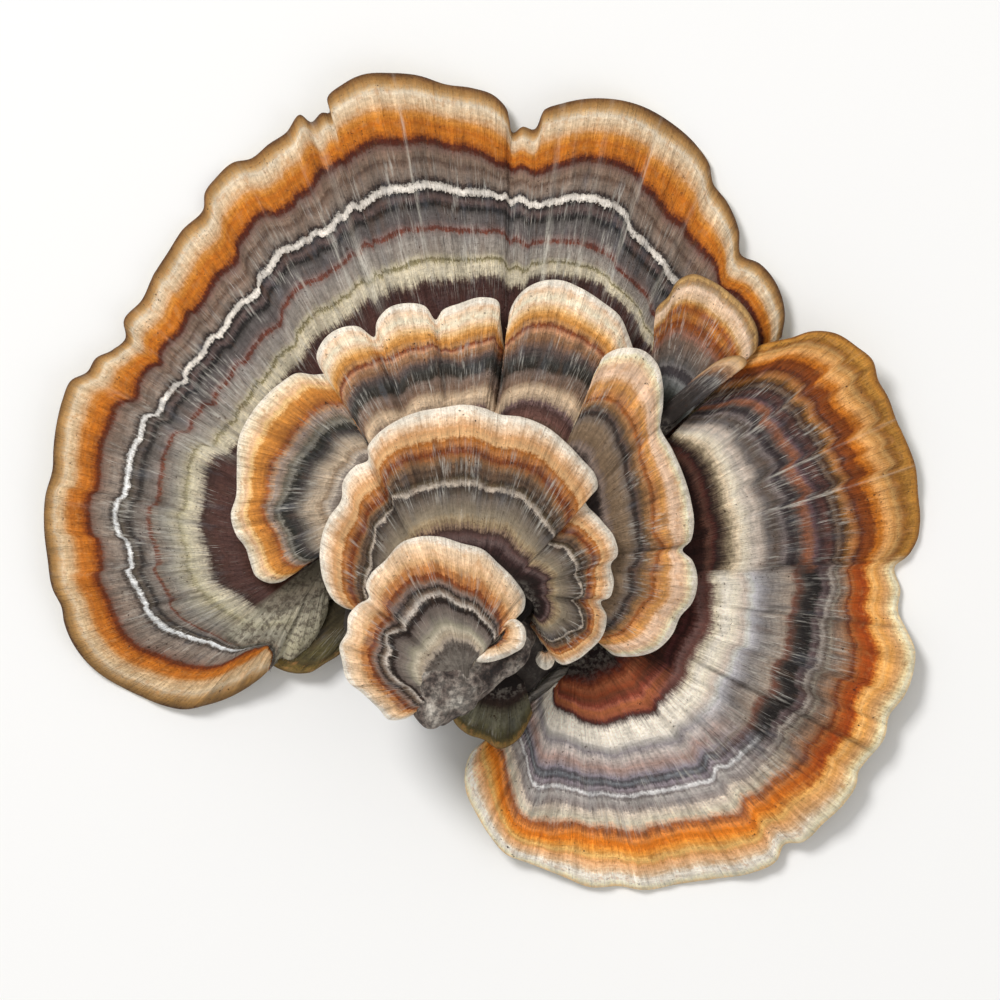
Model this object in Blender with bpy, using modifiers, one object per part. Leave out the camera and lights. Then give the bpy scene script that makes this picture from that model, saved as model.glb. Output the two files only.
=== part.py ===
"""Turkey tail fungus: a rosette of eleven zoned brackets on one cut foot.

Each bracket is a thin leathery shell that fans out from the foot.  Its upper
surface is swept between two curves: the root, where it leaves the foot, and the
margin, its free edge.  Solidify gives the shell its thickness.  The foot is a
leaning lump lofted through six outlines and cut off flat where the wood was.

World frame: millimetres here, turned to metres on the way out.  Z is up, and
the origin is the middle of the flat cut face.
"""
import bmesh
import bpy
import numpy as np

MM = 0.001
MERGE = 0.0001
DROOP = 1.7          # how late along a ray a bracket bends down; 1 is a straight slope

# Every bracket: root knots (u, x, y, z of the upper surface), margin points (x, y),
# margin heights (u, z), how thick the shell is, and how finely it is divided.
# u runs from 0 to 1 along the margin.  A bend is where the rays pass on the way,
# for a bracket that leaves the foot in one direction and fans out in another.
# A valley is (u, depth, width) of a fold that deepens towards the margin.
BRACKETS = {
    "great_cap": {
        "margin": [
            (-25, -4.7), (-28.8, -9.2), (-34.7, -11.7), (-40.5, -11.6), (-45.9, -9.2), (-51, -5.4),
            (-53.7, -0.3), (-55.2, 4.1), (-56.4, 12.8), (-55.2, 20.5), (-54.7, 26.3), (-52.7, 32.4),
            (-49.4, 35.4), (-45.4, 38.1), (-45.6, 40.5), (-43.2, 43.3), (-39.7, 49.7), (-34.8, 55.9),
            (-34.7, 57.8), (-30.8, 62), (-25.9, 64.5), (-21.6, 68.4), (-20.2, 67.4), (-17.8, 68.6),
            (-18, 70.6), (-13.5, 73.7), (-9.2, 74), (-2, 72.5), (4.6, 71), (7.3, 66), (9.9, 66.4),
            (13.8, 69.9), (18.9, 70.6), (24.3, 69.7), (28.6, 67.4), (32.1, 64.3), (34.2, 59.4),
            (37.8, 52.7), (38.1, 49.4), (42.9, 45.4), (44, 41.6), (43.6, 38.3),
        ],
        "root": [
            (0, -16.5, 1.1, 9.4), (0.12, -15.5, 4.7, 9.6), (0.3, -11.9, 8.1, 9.8),
            (0.5, -5.4, 12.2, 9.8), (0.62, 0.7, 13.5, 9.6), (0.8, 8.1, 12.2, 8.8), (1, 13.5, 8.1, 8.0),
        ],
        "margin_z": [
            (0, 5.6), (0.06, 4.2), (0.13, 1.65), (0.22, 3.6), (0.34, 4.4), (0.45, 2.6), (0.52, 1.65),
            (0.6, 4.6), (0.68, 5.2), (0.73, 3.6), (0.8, 5.0), (0.87, 1.65), (0.93, 3.6), (1, 4.2),
        ],
        "valleys": [(0.735, 0.9, 0.018), (0.56, 0.6, 0.012), (0.37, 0.5, 0.012), (0.13, 0.6, 0.02)],
        "thickness": 1.6,
        "divisions": (74, 6),
        "color": "8f8173",
    },
    "side_cap": {
        "margin": [
            (38.7, 35.1), (42.7, 37.7), (47.5, 39), (50.8, 38.7), (55.8, 35.1), (57.9, 30.2),
            (60.5, 24), (62.1, 16.9), (62, 10.8), (59, 7.2), (59.7, 4.1), (59.4, 1.1), (61.6, -4.1),
            (60.1, -10.4), (57.5, -15.9), (54, -20.5), (52.1, -24.8), (46.3, -30.2), (44, -30.5),
            (42.9, -32.7), (34.4, -35.2), (25, -36.7), (17.6, -36.3), (9.5, -33.1), (6.1, -31.7),
            (2.2, -26.3), (0.8, -21.5), (2.2, -17.3), (3.8, -16.5),
        ],
        "root": [
            (0, 11.7, 7.6, 11.0), (0.25, 14.2, 5.4, 10.6), (0.5, 14.9, 2, 9.8),
            (0.75, 14.2, -1.4, 8.8), (0.9, 12.1, -3.2, 7.6), (1, 9.9, -5, 7.0),
        ],
        "margin_z": [
            (0, 8.6), (0.06, 8.0), (0.16, 5.0), (0.27, 1.65), (0.36, 4.2), (0.47, 5.2), (0.56, 3.2),
            (0.68, 1.65), (0.8, 4.2), (0.92, 4.6), (1, 4.4),
        ],
        "valleys": [(0.31, 0.8, 0.02), (0.53, 0.5, 0.014), (0.17, 0.5, 0.014)],
        "thickness": 1.6,
        "divisions": (58, 6),
        "color": "8c7461",
    },
    "middle_left_cap": {
        "margin": [
            (-22.1, 7.8), (-23.6, 5.4), (-25.7, 5), (-27.4, 5.8), (-28.9, 9.7), (-30.9, 14.2),
            (-30.2, 18.5), (-29.8, 24.6), (-26.7, 29.7), (-24.3, 31.9), (-21.9, 33.3), (-17.8, 33.1),
            (-16.7, 31.1), (-16.2, 28.6),
        ],
        "root": [(0, -12.9, 3.2, 14.2), (0.5, -12, 6.9, 14.4), (1, -9.9, 9.9, 14.4)],
        "bend": [(0, -9.2, 15.6), (1, -11.2, 18.2)],
        "bend_weight": 0.55,
        "margin_z": [(0, 11.8), (0.2, 11.0), (0.5, 11.6), (0.8, 11.8), (1, 12.2)],
        "valleys": [(0.3, 0.3, 0.04)],
        "thickness": 1.6,
        "divisions": (22, 5),
        "color": "97806b",
    },
    "middle_cap": {
        "margin": [
            (-15.5, 29.2), (-18.6, 33.6), (-19.3, 35.5), (-16.5, 39.2), (-13.8, 39.6), (-11.5, 38.2),
            (-11.2, 40.2), (-9.7, 42), (-7, 42.7), (-4.7, 42.3), (-3.2, 40.5), (-2.4, 41.7),
            (0, 42.7), (3, 43.5), (5, 43.1), (5.6, 40.2), (6.1, 36.8), (6.5, 39.2), (6.9, 42.1),
            (8.4, 44.3), (13.5, 45.8), (16.2, 44.8), (19.2, 42.9), (21.6, 40.9), (23.5, 36.2),
        ],
        "root": [(0, -8.7, 10.9, 15), (0.5, 0, 13.7, 14.6), (1, 8.2, 11.8, 13.5)],
        "margin_z": [
            (0, 13.4), (0.15, 13.8), (0.24, 13.2), (0.32, 14), (0.42, 13.2), (0.5, 13.8),
            (0.57, 12.6), (0.7, 13.8), (0.9, 12.6), (1, 12),
        ],
        "valleys": [(0.58, 0.6, 0.02)],
        "thickness": 1.6,
        "divisions": (40, 5),
        "color": "9b836c",
    },
    "middle_right_cap": {
        "margin": [
            (18.6, 31.3), (18.5, 33.8), (19.7, 35.8), (22.3, 36.7), (24.7, 36.3), (26.5, 34.6),
            (27.3, 31.7), (27, 26.1), (28.6, 23), (31.1, 16.2), (31.5, 12.4), (30, 9.5), (31.3, 8.1),
            (32, 5.4), (29.7, 0.5), (26.3, -4.1), (23, -4.9), (20.5, -4.6), (19, -2.8),
        ],
        "root": [(0, 9.6, 9.8, 16.6), (0.35, 12, 5.4, 16.4), (0.7, 11.9, 0.6, 16), (1, 10.9, -2.6, 15.6)],
        "margin_z": [(0, 15.2), (0.15, 15.2), (0.35, 14.8), (0.55, 13.4), (0.62, 12.8), (0.8, 13.4), (1, 12.8)],
        "valleys": [(0.6, 0.5, 0.03)],
        "thickness": 1.6,
        "divisions": (32, 5),
        "color": "94795f",
    },
    "inner_cap": {
        "margin": [
            (-11.9, 3), (-14.6, 1.5), (-16.9, 2.7), (-18.8, 8.1), (-17.6, 13.8), (-15.9, 16.3),
            (-15.7, 18.6), (-14, 20.8), (-12.3, 21.6), (-12.4, 23.2), (-8.4, 26.9), (-2.4, 28.6),
            (3.4, 28.5), (8.1, 27.4), (14.3, 23.9), (18.1, 19.8), (18.5, 17.8), (16.9, 16.3),
            (19, 13.5), (21.1, 8.6), (20.4, 7.8), (20.7, 5.1), (20, 3), (19, 2.6), (19.7, 0.7),
            (19.2, -2), (17.3, -4.1), (14.9, -5.5), (12.4, -5.5),
        ],
        "root": [(0, -4.4, -0.7, 20.4), (0.3, -1.7, 2.4, 21), (0.6, 4.3, 3.1, 21), (1, 8.4, -1.2, 20.4)],
        "margin_z": [(0, 18.6), (0.15, 17.8), (0.4, 18.4), (0.6, 18.2), (0.8, 18), (0.92, 17.6), (1, 18.4)],
        "valleys": [(0.29, 0.4, 0.02), (0.62, 0.4, 0.02), (0.8, 0.4, 0.02)],
        "thickness": 1.6,
        "divisions": (44, 6),
        "color": "9c8169",
    },
    "top_cap": {
        "margin": [
            (-4.9, -11.6), (-7.4, -13.1), (-9.7, -13.1), (-10.7, -11.9), (-15.1, -7.8), (-16.1, -3.4),
            (-15.1, -1.4), (-14.9, 0.7), (-12.2, 3.1), (-12.6, 4.7), (-10, 8.1), (-7.8, 10.5),
            (-5.4, 11.3), (-2.7, 11.3), (3.1, 9.6), (7.4, 5.5), (8.8, 3), (8.2, 0.8), (6.9, 0.1),
            (8.5, -0.5), (8.9, -2.2), (7.8, -4.1), (5.4, -5.4), (3.2, -5.5), (1.8, -4.3),
        ],
        "root": [(0, -2.2, -9.4, 26.2), (0.35, -1.6, -6.8, 26.5), (0.7, 1.3, -6.1, 26.5), (1, 3.6, -7.6, 26.2)],
        "margin_z": [(0, 23), (0.2, 22.6), (0.5, 22.4), (0.8, 22.8), (0.93, 23), (1, 24)],
        "valleys": [(0.37, 0.5, 0.025), (0.83, 0.4, 0.025)],
        "thickness": 1.5,
        "divisions": (38, 5),
        "color": "998372",
    },
    "upper_flap": {
        "margin": [
            (26.5, 40.5), (26.6, 42.1), (28.1, 43.7), (29.4, 45.8), (31.3, 46.7), (34, 45.8),
            (38.9, 41.6), (40.2, 38.9), (40, 36.5), (38.3, 34.8),
        ],
        "root": [(0, 12.2, 9.6, 12.6), (1, 13.3, 7.2, 12.6)],
        "bend": [(0, 24.6, 24.3), (1, 26.3, 23.6)],
        "bend_weight": 1.0,
        "margin_z": [(0, 9.4), (0.5, 8.6), (1, 10.4)],
        "valleys": [],
        "thickness": 1.2,
        "divisions": (16, 6),
        "color": "9d8468",
    },
    "narrow_flap": {
        "margin": [(32.4, 33.2), (34.3, 34.7), (36.5, 35.6), (38.1, 35.6), (38.7, 34.9), (37.8, 33.9)],
        "root": [(0, 12.7, 7.9, 13.9), (1, 13.1, 6.3, 13.9)],
        "bend": [(0, 24.6, 25.8), (1, 25.6, 23.9)],
        "bend_weight": 1.0,
        "margin_z": [(0, 11.8), (1, 11.8)],
        "valleys": [],
        "thickness": 1.0,
        "divisions": (8, 6),
        "color": "b08c6c",
    },
    "olive_left_cap": {
        "margin": [
            (-15.2, -3.2), (-16.6, -5), (-18.2, -5.9), (-20.5, -7.2), (-23, -7.2), (-25.4, -6.2),
            (-27.5, -4.1), (-28, -1.6),
        ],
        "root": [(0, -14.3, -2, 5.4), (0.5, -15, 0.6, 5.6), (1, -14.9, 3, 5.6)],
        "margin_z": [(0, 3.6), (0.5, 3.2), (1, 3.4)],
        "valleys": [],
        "thickness": 1.3,
        "divisions": (12, 4),
        "color": "5f5233",
    },
    "olive_front_cap": {
        "margin": [(9.8, -12.6), (8.1, -15.9), (5.1, -17.4), (3.2, -16.2), (1.1, -15.5), (-0.6, -14.3)],
        "root": [(0, 8.7, -7.6, 10.6), (0.5, 4.5, -10.6, 10.8), (1, -0.4, -13, 10.6)],
        "margin_z": [(0, 9.2), (0.5, 8.0), (1, 8.8)],
        "valleys": [],
        "thickness": 1.3,
        "divisions": (12, 4),
        "color": "56492f",
    },
}

# The foot: height, middle, and the reach in twelve directions, 30 degrees apart,
# clockwise from -X.  Its first outline is the cut face.
FOOT_LEVELS = [
    (0, (0, 0), (13.4, 12.6, 11.4, 11.2, 11.6, 11.6, 11.4, 9.4, 9.2, 11.0, 12.0, 12.6)),
    (4.2, (0, 0), (14.0, 13.2, 12.2, 12.2, 12.6, 12.4, 12.4, 9.6, 9.6, 11.8, 12.8, 12.8)),
    (9.0, (0, 0), (15.4, 14.0, 12.6, 12.8, 13.2, 12.6, 12.4, 9.4, 9.4, 12.0, 13.0, 13.2)),
    (13.6, (0, -0.6), (12.0, 12.2, 12.2, 13.4, 12.8, 11.6, 10.8, 8.6, 8.6, 11.2, 12.0, 12.0)),
    (19.6, (1, -5), (6.2, 5.9, 6.5, 7.0, 7.3, 7.2, 6.8, 5.6, 5.8, 7.2, 7.8, 7.2)),
    (25.2, (0.8, -10), (2.4, 2.5, 2.8, 2.9, 2.9, 2.6, 2.6, 2.6, 2.6, 2.6, 2.8, 2.6)),
    (27.2, (0.8, -10), (1.2, 1.2, 1.3, 1.4, 1.4, 1.3, 1.2, 1.2, 1.2, 1.2, 1.2, 1.2)),
]
FOOT_AROUND = 32
FOOT_COLOR = "6e6152"


def curve_through(knots, values, samples):
    """Smooth curve through values at knots, read at samples (Hermite, as hand-drawn)."""
    knots = np.array(knots, float)
    values = np.array(values, float).reshape(len(knots), -1)
    slopes = np.diff(values, axis=0) / np.diff(knots)[:, None]
    tangents = np.empty_like(values)
    tangents[0] = slopes[0]
    tangents[-1] = slopes[-1]
    before = np.diff(knots)[:-1, None]
    after = np.diff(knots)[1:, None]
    tangents[1:-1] = (slopes[:-1] * after + slopes[1:] * before) / (before + after)
    samples = np.clip(np.asarray(samples, float), knots[0], knots[-1])
    span = np.clip(np.searchsorted(knots, samples, side="right") - 1, 0, len(knots) - 2)
    width = (knots[span + 1] - knots[span])[:, None]
    t = ((samples - knots[span])[:, None]) / width
    start = (2 * t**3 - 3 * t**2 + 1) * values[span] + (t**3 - 2 * t**2 + t) * width * tangents[span]
    end = (3 * t**2 - 2 * t**3) * values[span + 1] + (t**3 - t**2) * width * tangents[span + 1]
    return start + end


def margin_curve(points, samples):
    """The free edge at samples, with u as its share of the edge's length."""
    points = np.array(points, float)
    steps = np.linalg.norm(np.diff(points, axis=0), axis=1)
    knots = np.r_[0, np.cumsum(steps)] / steps.sum()
    return curve_through(knots, points, samples)


def bracket_surface(form):
    """Rows of upper-surface points (mm), one row for each u, from root to margin."""
    around, along = form["divisions"]
    u = np.linspace(0, 1, around + 1)
    root = curve_through([k[0] for k in form["root"]], [k[1:] for k in form["root"]], u)
    margin = margin_curve(form["margin"], u)
    margin_z = curve_through([k[0] for k in form["margin_z"]], [k[1] for k in form["margin_z"]], u)
    rows = []
    for s in np.linspace(0, 1, along + 1):
        plan = root[:, :2] * (1 - s) + margin * s
        if "bend" in form:
            bend = curve_through([k[0] for k in form["bend"]], [k[1:] for k in form["bend"]], u)
            bowed = root[:, :2] * (1 - s) ** 2 + bend * 2 * s * (1 - s) + margin * s**2
            plan = plan + (bowed - plan) * form["bend_weight"]
        height = root[:, 2] + (margin_z[:, 0] - root[:, 2]) * s**DROOP
        for place, depth, width in form["valleys"]:
            height = height - depth * s**2 * (1 - s**6) * np.exp(-(((u - place) / width) ** 2))
        rows.append(np.c_[plan, height])
    return np.array(rows).transpose(1, 0, 2)


def plain_material(name, hex_color, roughness):
    """A Principled BSDF in one sRGB colour."""
    material = bpy.data.materials.new(name)
    material.use_nodes = True
    shader = material.node_tree.nodes["Principled BSDF"]
    channels = [int(hex_color[i:i + 2], 16) / 255 for i in (0, 2, 4)]
    linear = [c / 12.92 if c <= 0.04045 else ((c + 0.055) / 1.055) ** 2.4 for c in channels]
    shader.inputs["Base Color"].default_value = (*linear, 1)
    shader.inputs["Roughness"].default_value = roughness
    shader.inputs["Metallic"].default_value = 0
    return material


def make_object(name, points, faces, material, collection):
    """One mesh object from points in mm, with its normals made consistent."""
    mesh = bpy.data.meshes.new(name)
    shape = bmesh.new()
    vertices = [shape.verts.new([float(c) * MM for c in point]) for point in points]
    for face in faces:
        shape.faces.new([vertices[i] for i in face])
    bmesh.ops.remove_doubles(shape, verts=shape.verts, dist=MERGE / 10)
    bmesh.ops.recalc_face_normals(shape, faces=shape.faces)
    shape.to_mesh(mesh)
    shape.free()
    part = bpy.data.objects.new(name, mesh)
    part.data.materials.append(material)
    collection.objects.link(part)
    return part


def make_bracket(name, form, collection):
    """A fan of quads from root to margin, thickened downwards by Solidify."""
    surface = bracket_surface(form)
    around, along = surface.shape[0], surface.shape[1]
    index = np.arange(around * along).reshape(around, along)
    faces = []
    for i in range(around - 1):
        for j in range(along - 1):
            faces.append((index[i, j], index[i, j + 1], index[i + 1, j + 1], index[i + 1, j]))
    material = plain_material(f"{name} skin", form["color"], 0.8)
    part = make_object(name, surface.reshape(-1, 3), faces, material, collection)
    upward = sum(p.normal.z for p in part.data.polygons)
    if upward < 0:
        part.data.flip_normals()
    shell = part.modifiers.new("Shell", "SOLIDIFY")
    shell.thickness = form["thickness"] * MM
    shell.offset = -1
    shell.use_rim = True
    return part


def make_foot(collection):
    """The lump that the brackets grow from, lofted through its outlines."""
    directions = np.radians(180 - 30 * np.arange(13))
    around = np.linspace(0, 12, FOOT_AROUND, endpoint=False)
    points = []
    for height, middle, reach in FOOT_LEVELS:
        closed = np.array([*reach, reach[0]])
        radius = curve_through(range(-2, 15), [*closed[-3:-1], *closed, *closed[1:3]], around)[:, 0]
        angle = directions[0] - np.radians(30) * around
        ring = np.c_[middle[0] + radius * np.cos(angle), middle[1] + radius * np.sin(angle)]
        points += [(x, y, height) for x, y in ring]
    faces = []
    for level in range(len(FOOT_LEVELS) - 1):
        low = level * FOOT_AROUND
        for i in range(FOOT_AROUND):
            nxt = (i + 1) % FOOT_AROUND
            faces.append((low + i, low + nxt, low + FOOT_AROUND + nxt, low + FOOT_AROUND + i))
    faces.append(tuple(range(FOOT_AROUND)))
    last = (len(FOOT_LEVELS) - 1) * FOOT_AROUND
    faces.append(tuple(last + i for i in reversed(range(FOOT_AROUND))))
    return make_object("foot", points, faces, plain_material("foot flesh", FOOT_COLOR, 0.9), collection)


def main():
    """Clear the scene and build the rosette in its own collection."""
    for item in list(bpy.data.objects):
        bpy.data.objects.remove(item, do_unlink=True)
    collection = bpy.data.collections.new("turkey_tail_fungus")
    bpy.context.scene.collection.children.link(collection)
    make_foot(collection)
    for name, form in BRACKETS.items():
        make_bracket(name, form, collection)


main()
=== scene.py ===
# %% [markdown]
# # A turkey tail fungus, seen from above
# The object is a rosette of thin leathery brackets on one cut foot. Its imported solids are
# loaded first and never moved: they say where everything is, and each is then stood for by
# a finished piece of the same name and size.

# %% Load the frame
import math

import bpy
import numpy as np
from mathutils import Matrix, Vector


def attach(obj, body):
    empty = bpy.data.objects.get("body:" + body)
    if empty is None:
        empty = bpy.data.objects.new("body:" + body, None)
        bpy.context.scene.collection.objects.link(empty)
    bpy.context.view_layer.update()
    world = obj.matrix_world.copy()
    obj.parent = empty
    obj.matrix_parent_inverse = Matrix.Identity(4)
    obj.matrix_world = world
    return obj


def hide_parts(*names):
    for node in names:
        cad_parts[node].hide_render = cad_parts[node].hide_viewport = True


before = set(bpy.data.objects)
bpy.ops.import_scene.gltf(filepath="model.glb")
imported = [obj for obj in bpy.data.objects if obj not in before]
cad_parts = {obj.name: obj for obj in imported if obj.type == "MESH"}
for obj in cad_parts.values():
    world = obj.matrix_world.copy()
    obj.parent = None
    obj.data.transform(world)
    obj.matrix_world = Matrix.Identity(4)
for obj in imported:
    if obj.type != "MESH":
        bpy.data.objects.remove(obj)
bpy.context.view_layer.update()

MM = 0.001
print("nodes:", sorted(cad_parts))

# %% [markdown]
# ## Smooth curves through a few points
# A bracket's free edge was drawn as a row of points in millimetres. A smooth curve through
# them could be a Bezier spline, but every later step needs positions, heights and ring
# places at thousands of shares of the edge at once, so a Hermite curve on number arrays is
# quicker. The same function reads plans, heights and ring tables.

# %% Curve helper
def curve_through(knots, values, at):
    """Smooth curve through values at knots, read at the shares in at."""
    knots = np.array(knots, float)
    values = np.array(values, float).reshape(len(knots), -1)
    slopes = np.diff(values, axis=0) / np.diff(knots)[:, None]
    tangents = np.empty_like(values)
    tangents[0], tangents[-1] = slopes[0], slopes[-1]
    before, after = np.diff(knots)[:-1, None], np.diff(knots)[1:, None]
    tangents[1:-1] = (slopes[:-1] * after + slopes[1:] * before) / (before + after)
    at = np.clip(np.asarray(at, float), knots[0], knots[-1])
    span = np.clip(np.searchsorted(knots, at, side="right") - 1, 0, len(knots) - 2)
    width = (knots[span + 1] - knots[span])[:, None]
    t = (at - knots[span])[:, None] / width
    start = (2 * t**3 - 3 * t**2 + 1) * values[span] + (t**3 - 2 * t**2 + t) * width * tangents[span]
    end = (3 * t**2 - 2 * t**3) * values[span + 1] + (t**3 - t**2) * width * tangents[span + 1]
    return start + end


def numbers(text):
    """'a b; c d' becomes rows of numbers, which keeps long tables short."""
    return [[float(n) for n in row.split()] for row in text.split(";") if row.strip()]


# %% [markdown]
# ## What each bracket looks like in plan
# Every bracket fans out from a hinge. *edge* is its free edge, *fan* the line its rays start
# from, and *root* where it comes out of the foot. *edge_z* is the height of the upper side
# along the edge. *rings* says where a coloured zone runs: for a zone's own number v, the
# share of the ray at which it lies for each share u of the edge. Real zones swing in and out
# with the lobes, so they are read from such tables and not from plain circles. *folds* are
# radial creases: place u, drift, from and to along the ray, width, depth and step in mm, and
# how dark the painted shade in the crease is (below nought, pale fibres instead).

# %% Forms of the two large caps
FORMS = {}
FORMS["great_cap"] = dict(
    edge="""-18.6 3.8; -18 2.2; -18 .3; -19 -1.6; -20.4 -3.8; -21.9 -5.1; -23.4 -5.7; -24.4 -5.5; -25.1 -6.1;
    -26.7 -7.6; -28.8 -9.2; -31.6 -10.7; -34.7 -11.7; -37.3 -12.2; -40.5 -11.6; -43.2 -10.5; -45.9 -9.2;
    -48.6 -7.6; -51 -5.4; -52.8 -2.7; -53.7 -.3; -54 1.6; -55.2 4.1; -55.9 8.1; -56.4 12.8; -56.2 16.7;
    -55.2 20.5; -55.1 23; -54.7 26.3; -53.9 29.7; -52.7 32.4; -50.5 33.6; -49.4 35.4; -47.2 36.5; -45.4 38.1;
    -45.6 40.5; -43.2 43.3; -41.6 46.7; -39.7 49.7; -37.8 52.7; -34.8 55.9; -34.7 57.8; -33.2 59.9; -30.8 62;
    -28.4 62.5; -25.9 64.5; -23.6 66; -21.6 68.4; -20.2 67.4; -18.6 68.7; -17.8 68.6; -18 70.6; -15.9 72.5;
    -13.5 73.7; -9.2 74; -5.4 73.6; -2 72.5; 1.6 72; 4.6 71; 6.2 69.4; 7.3 66; 8.5 66.8; 9.9 66.4; 11.5 69.1;
    13.8 69.9; 18.9 70.6; 24.3 69.7; 28.6 67.4; 32.1 64.3; 33.9 61.4; 34.2 59.4; 36.2 56.6; 37.8 52.7;
    38.1 49.4; 40.5 48.3; 42.9 45.4; 44 41.6; 43.6 38.3""",
    fan="""0 -17.6 6.1; .06 -18.6 7.3; .12 -19.2 8.1; .2 -17.6 9; .3 -13.5 9.7; .5 -5.4 12.2; .62 .7 13.5;
    .8 8.1 12.2; 1 13.5 8.1""",
    root="0 -12.5 2 9.4; .12 -12 4 9.6; .3 -9 6.2 9.8; .5 -4 8.8 9.8; .62 .6 9.8 9.6; .8 5.8 8.8 8.8; 1 "
         "9.6 5.8 8",
    edge_z="""0 5.6; .06 4.2; .13 1.65; .22 3.6; .34 4.4; .45 2.6; .52 1.65; .6 4.6; .68 5.2; .73 3.6; .8 5;
    .87 1.65; .93 3.6; 1 4.2""",
    rings={
        .55: "0 .355; .15 .355; .183 .357; .2 .39; .217 .43; .25 .445; .267 .468; .283 .49; .3 .513; .35 "
             ".52; "
             ".5 .527; .56 .533; .6 .548; .617 .527; .633 .511; .667 .533; .7 .554; .727 .58; .74 .596; "
             ".8 .58; 1 .57",
        .655: "0 1.6; .06 1.6; .064 .9; .075 .7; .1 .56; .11 .565; .13 .575; .15 .565; .167 .57; .2 .6; "
              ".25 .63; "
              ".3 .655; .377 .655; .403 .675; .417 .66; .5 .64; .54 .66; .58 .645; .6 .675; .62 .64; .65 "
              ".64; "
              ".71 .67; .745 .72; .77 .67; .8 .66; .86 .633; 1 .65",
        .757: "0 2.6; .06 2.6; .064 .97; .072 .785; .08 .695; .088 .625; .1 .60; .11 .595; .13 .6; .15 .6; "
              ".167 .63; .18 .645; .2 .675; .213 .7; .233 .71; .25 .72; .267 .735; .283 .755; .3 .765; "
              ".333 .755; "
              ".35 .743; .377 .757; .393 .775; .403 .787; .417 .768; .45 .755; .5 .745; .517 .738; .547 "
              ".763; "
              ".56 .752; .578 .728; .593 .765; .603 .767; .613 .74; .643 .733; .667 .744; .707 .757; .72 "
              ".765; "
              ".73 .797; .74 .823; .753 .82; .763 .79; .772 .763; .8 .767; .833 .755; .85 .731; .867 .725; "
              ".883 .728; .897 .744; 1 .75",
        .85: "0 2.8; .06 2.8; .064 .98; .072 .79; .08 .7; .088 .63; .1 .61; .11 .62; .12 .675; .127 .72; "
             ".133 .74; .15 .765; .167 .785; .183 .805; .2 .815; .217 .825; .25 .825; .283 .845; .3 .855; "
             ".333 .85; .35 .842; .367 .837; .38 .84; .39 .87; .4 .885; .41 .87; .42 .86; .45 .847; .5 .843; "
             ".533 .852; .557 .85; .58 .845; .59 .876; .603 .884; .613 .852; .65 .841; .687 .853; .703 .853; "
             ".717 .837; .727 .855; .733 .887; .74 .908; .757 .892; .763 .866; .77 .845; .8 .853; .833 .85; "
             ".85 .84; .86 .823; .87 .818; .883 .839; .897 .852; .933 .89; 1 .9",
        .93: "0 2.9; .06 2.9; .064 .99; .072 .80; .08 .715; .088 .65; .1 .72; .11 .76; .12 .8; .133 .835; "
             ".15 .865; .167 .885; .2 .905; .25 .92; .3 .93; .38 .93; .4 .95; .42 .935; .5 .93; .59 .935; "
             ".6 .945; "
             ".62 .93; .72 .93; .74 .955; .77 .93; .93 .935; 1 .945",
    },
    end="0 3; .06 3; .064 1; 1 1",
    folds="""0.222 -.035 .45 .72 1.1 .35 .25 .5 .01; .737 0 .7 1 2.4 .2 0 0; .403 0 .55 1 1.3 .3 .2 .15 .008;
    .600 0 .62 1 1.6 .25 .1 .1; .37 .0 .3 .9 .8 .15 0 .2 .01; .59 .004 .5 .72 2.4 .05 0 -.6; .557 0 .6 1 .9
    .2 .1 .15 -.006;
    .30 0 .5 1 .9 .16 .08 .2 .01; .33 0 .5 .9 .6 .12 0 .25; .27 0 .6 1 .8 .16 .06 .2 -.01; .45 0 .5 1 .9
    .15 .05 .15 .006;
    .48 0 .6 .95 .6 .12 0 .2; .52 0 .5 .95 .7 .14 .05 .1; .655 0 .55 .95 .5 .08 0 -.35; .68 0 .5 .95 .7 .1
    0 .12;
    .78 0 .45 .75 1.2 .1 0 -.6; .792 0 .5 .72 .6 .05 0 -.4; .81 0 .5 .7 .9 .08 0 -.45; .841 -.002 .5 1 .8
    .15 .2 -.3 .008;
    .862 0 .6 1 .9 .25 .1 .25; .9 0 .5 1 .8 .2 .05 .25; .885 0 .5 .75 1.6 .1 0 -.45; .15 0 .5 .9 .8 .15 0 .2;
    .195 0 .6 .95 .6 .12 0 .15; .245 0 .5 .95 .7 .14 0 .15 .01; .41 0 .5 .78 .6 .08 0 -.4; .425 0 .55 .75
    .5 .05 0 -.35;
    .35 0 .3 .8 .6 .1 0 .2; .37 .002 .42 .68 1.8 .05 0 -.5; .215 0 .72 .95 .5 .1 0 .15; .17 0 .7 1 .7 .15 0
    .15; .57 0 .5 .8 .6 .05 0 -.4;
    .5 0 .56 .9 .5 .1 0 .15; .535 0 .56 .74 .5 .05 0 -.35; .29 0 .48 .7 .9 .05 0 -.3; .245 .0 .48 .6 1.2
    .05 0 -.4""",
    ledge=(.0, .155, .75, "0 1.4; .063 1; .072 .79; .08 .7; .088 .63; .1 .607; .12 .597; .142 .557; .16 .54"),
    speckled="0 .155",
    terrace="0 0; .5 .1; .545 .02; .56 .16; .7 .08; .75 .2; .775 .02; .84 -.05; .87 .2; .93 .3; .97 .2; 1 0",
    thickness=1.6, rim_drop=.5, lobes=.12, grid=(560, 104), low_rows=4,
)
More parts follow.
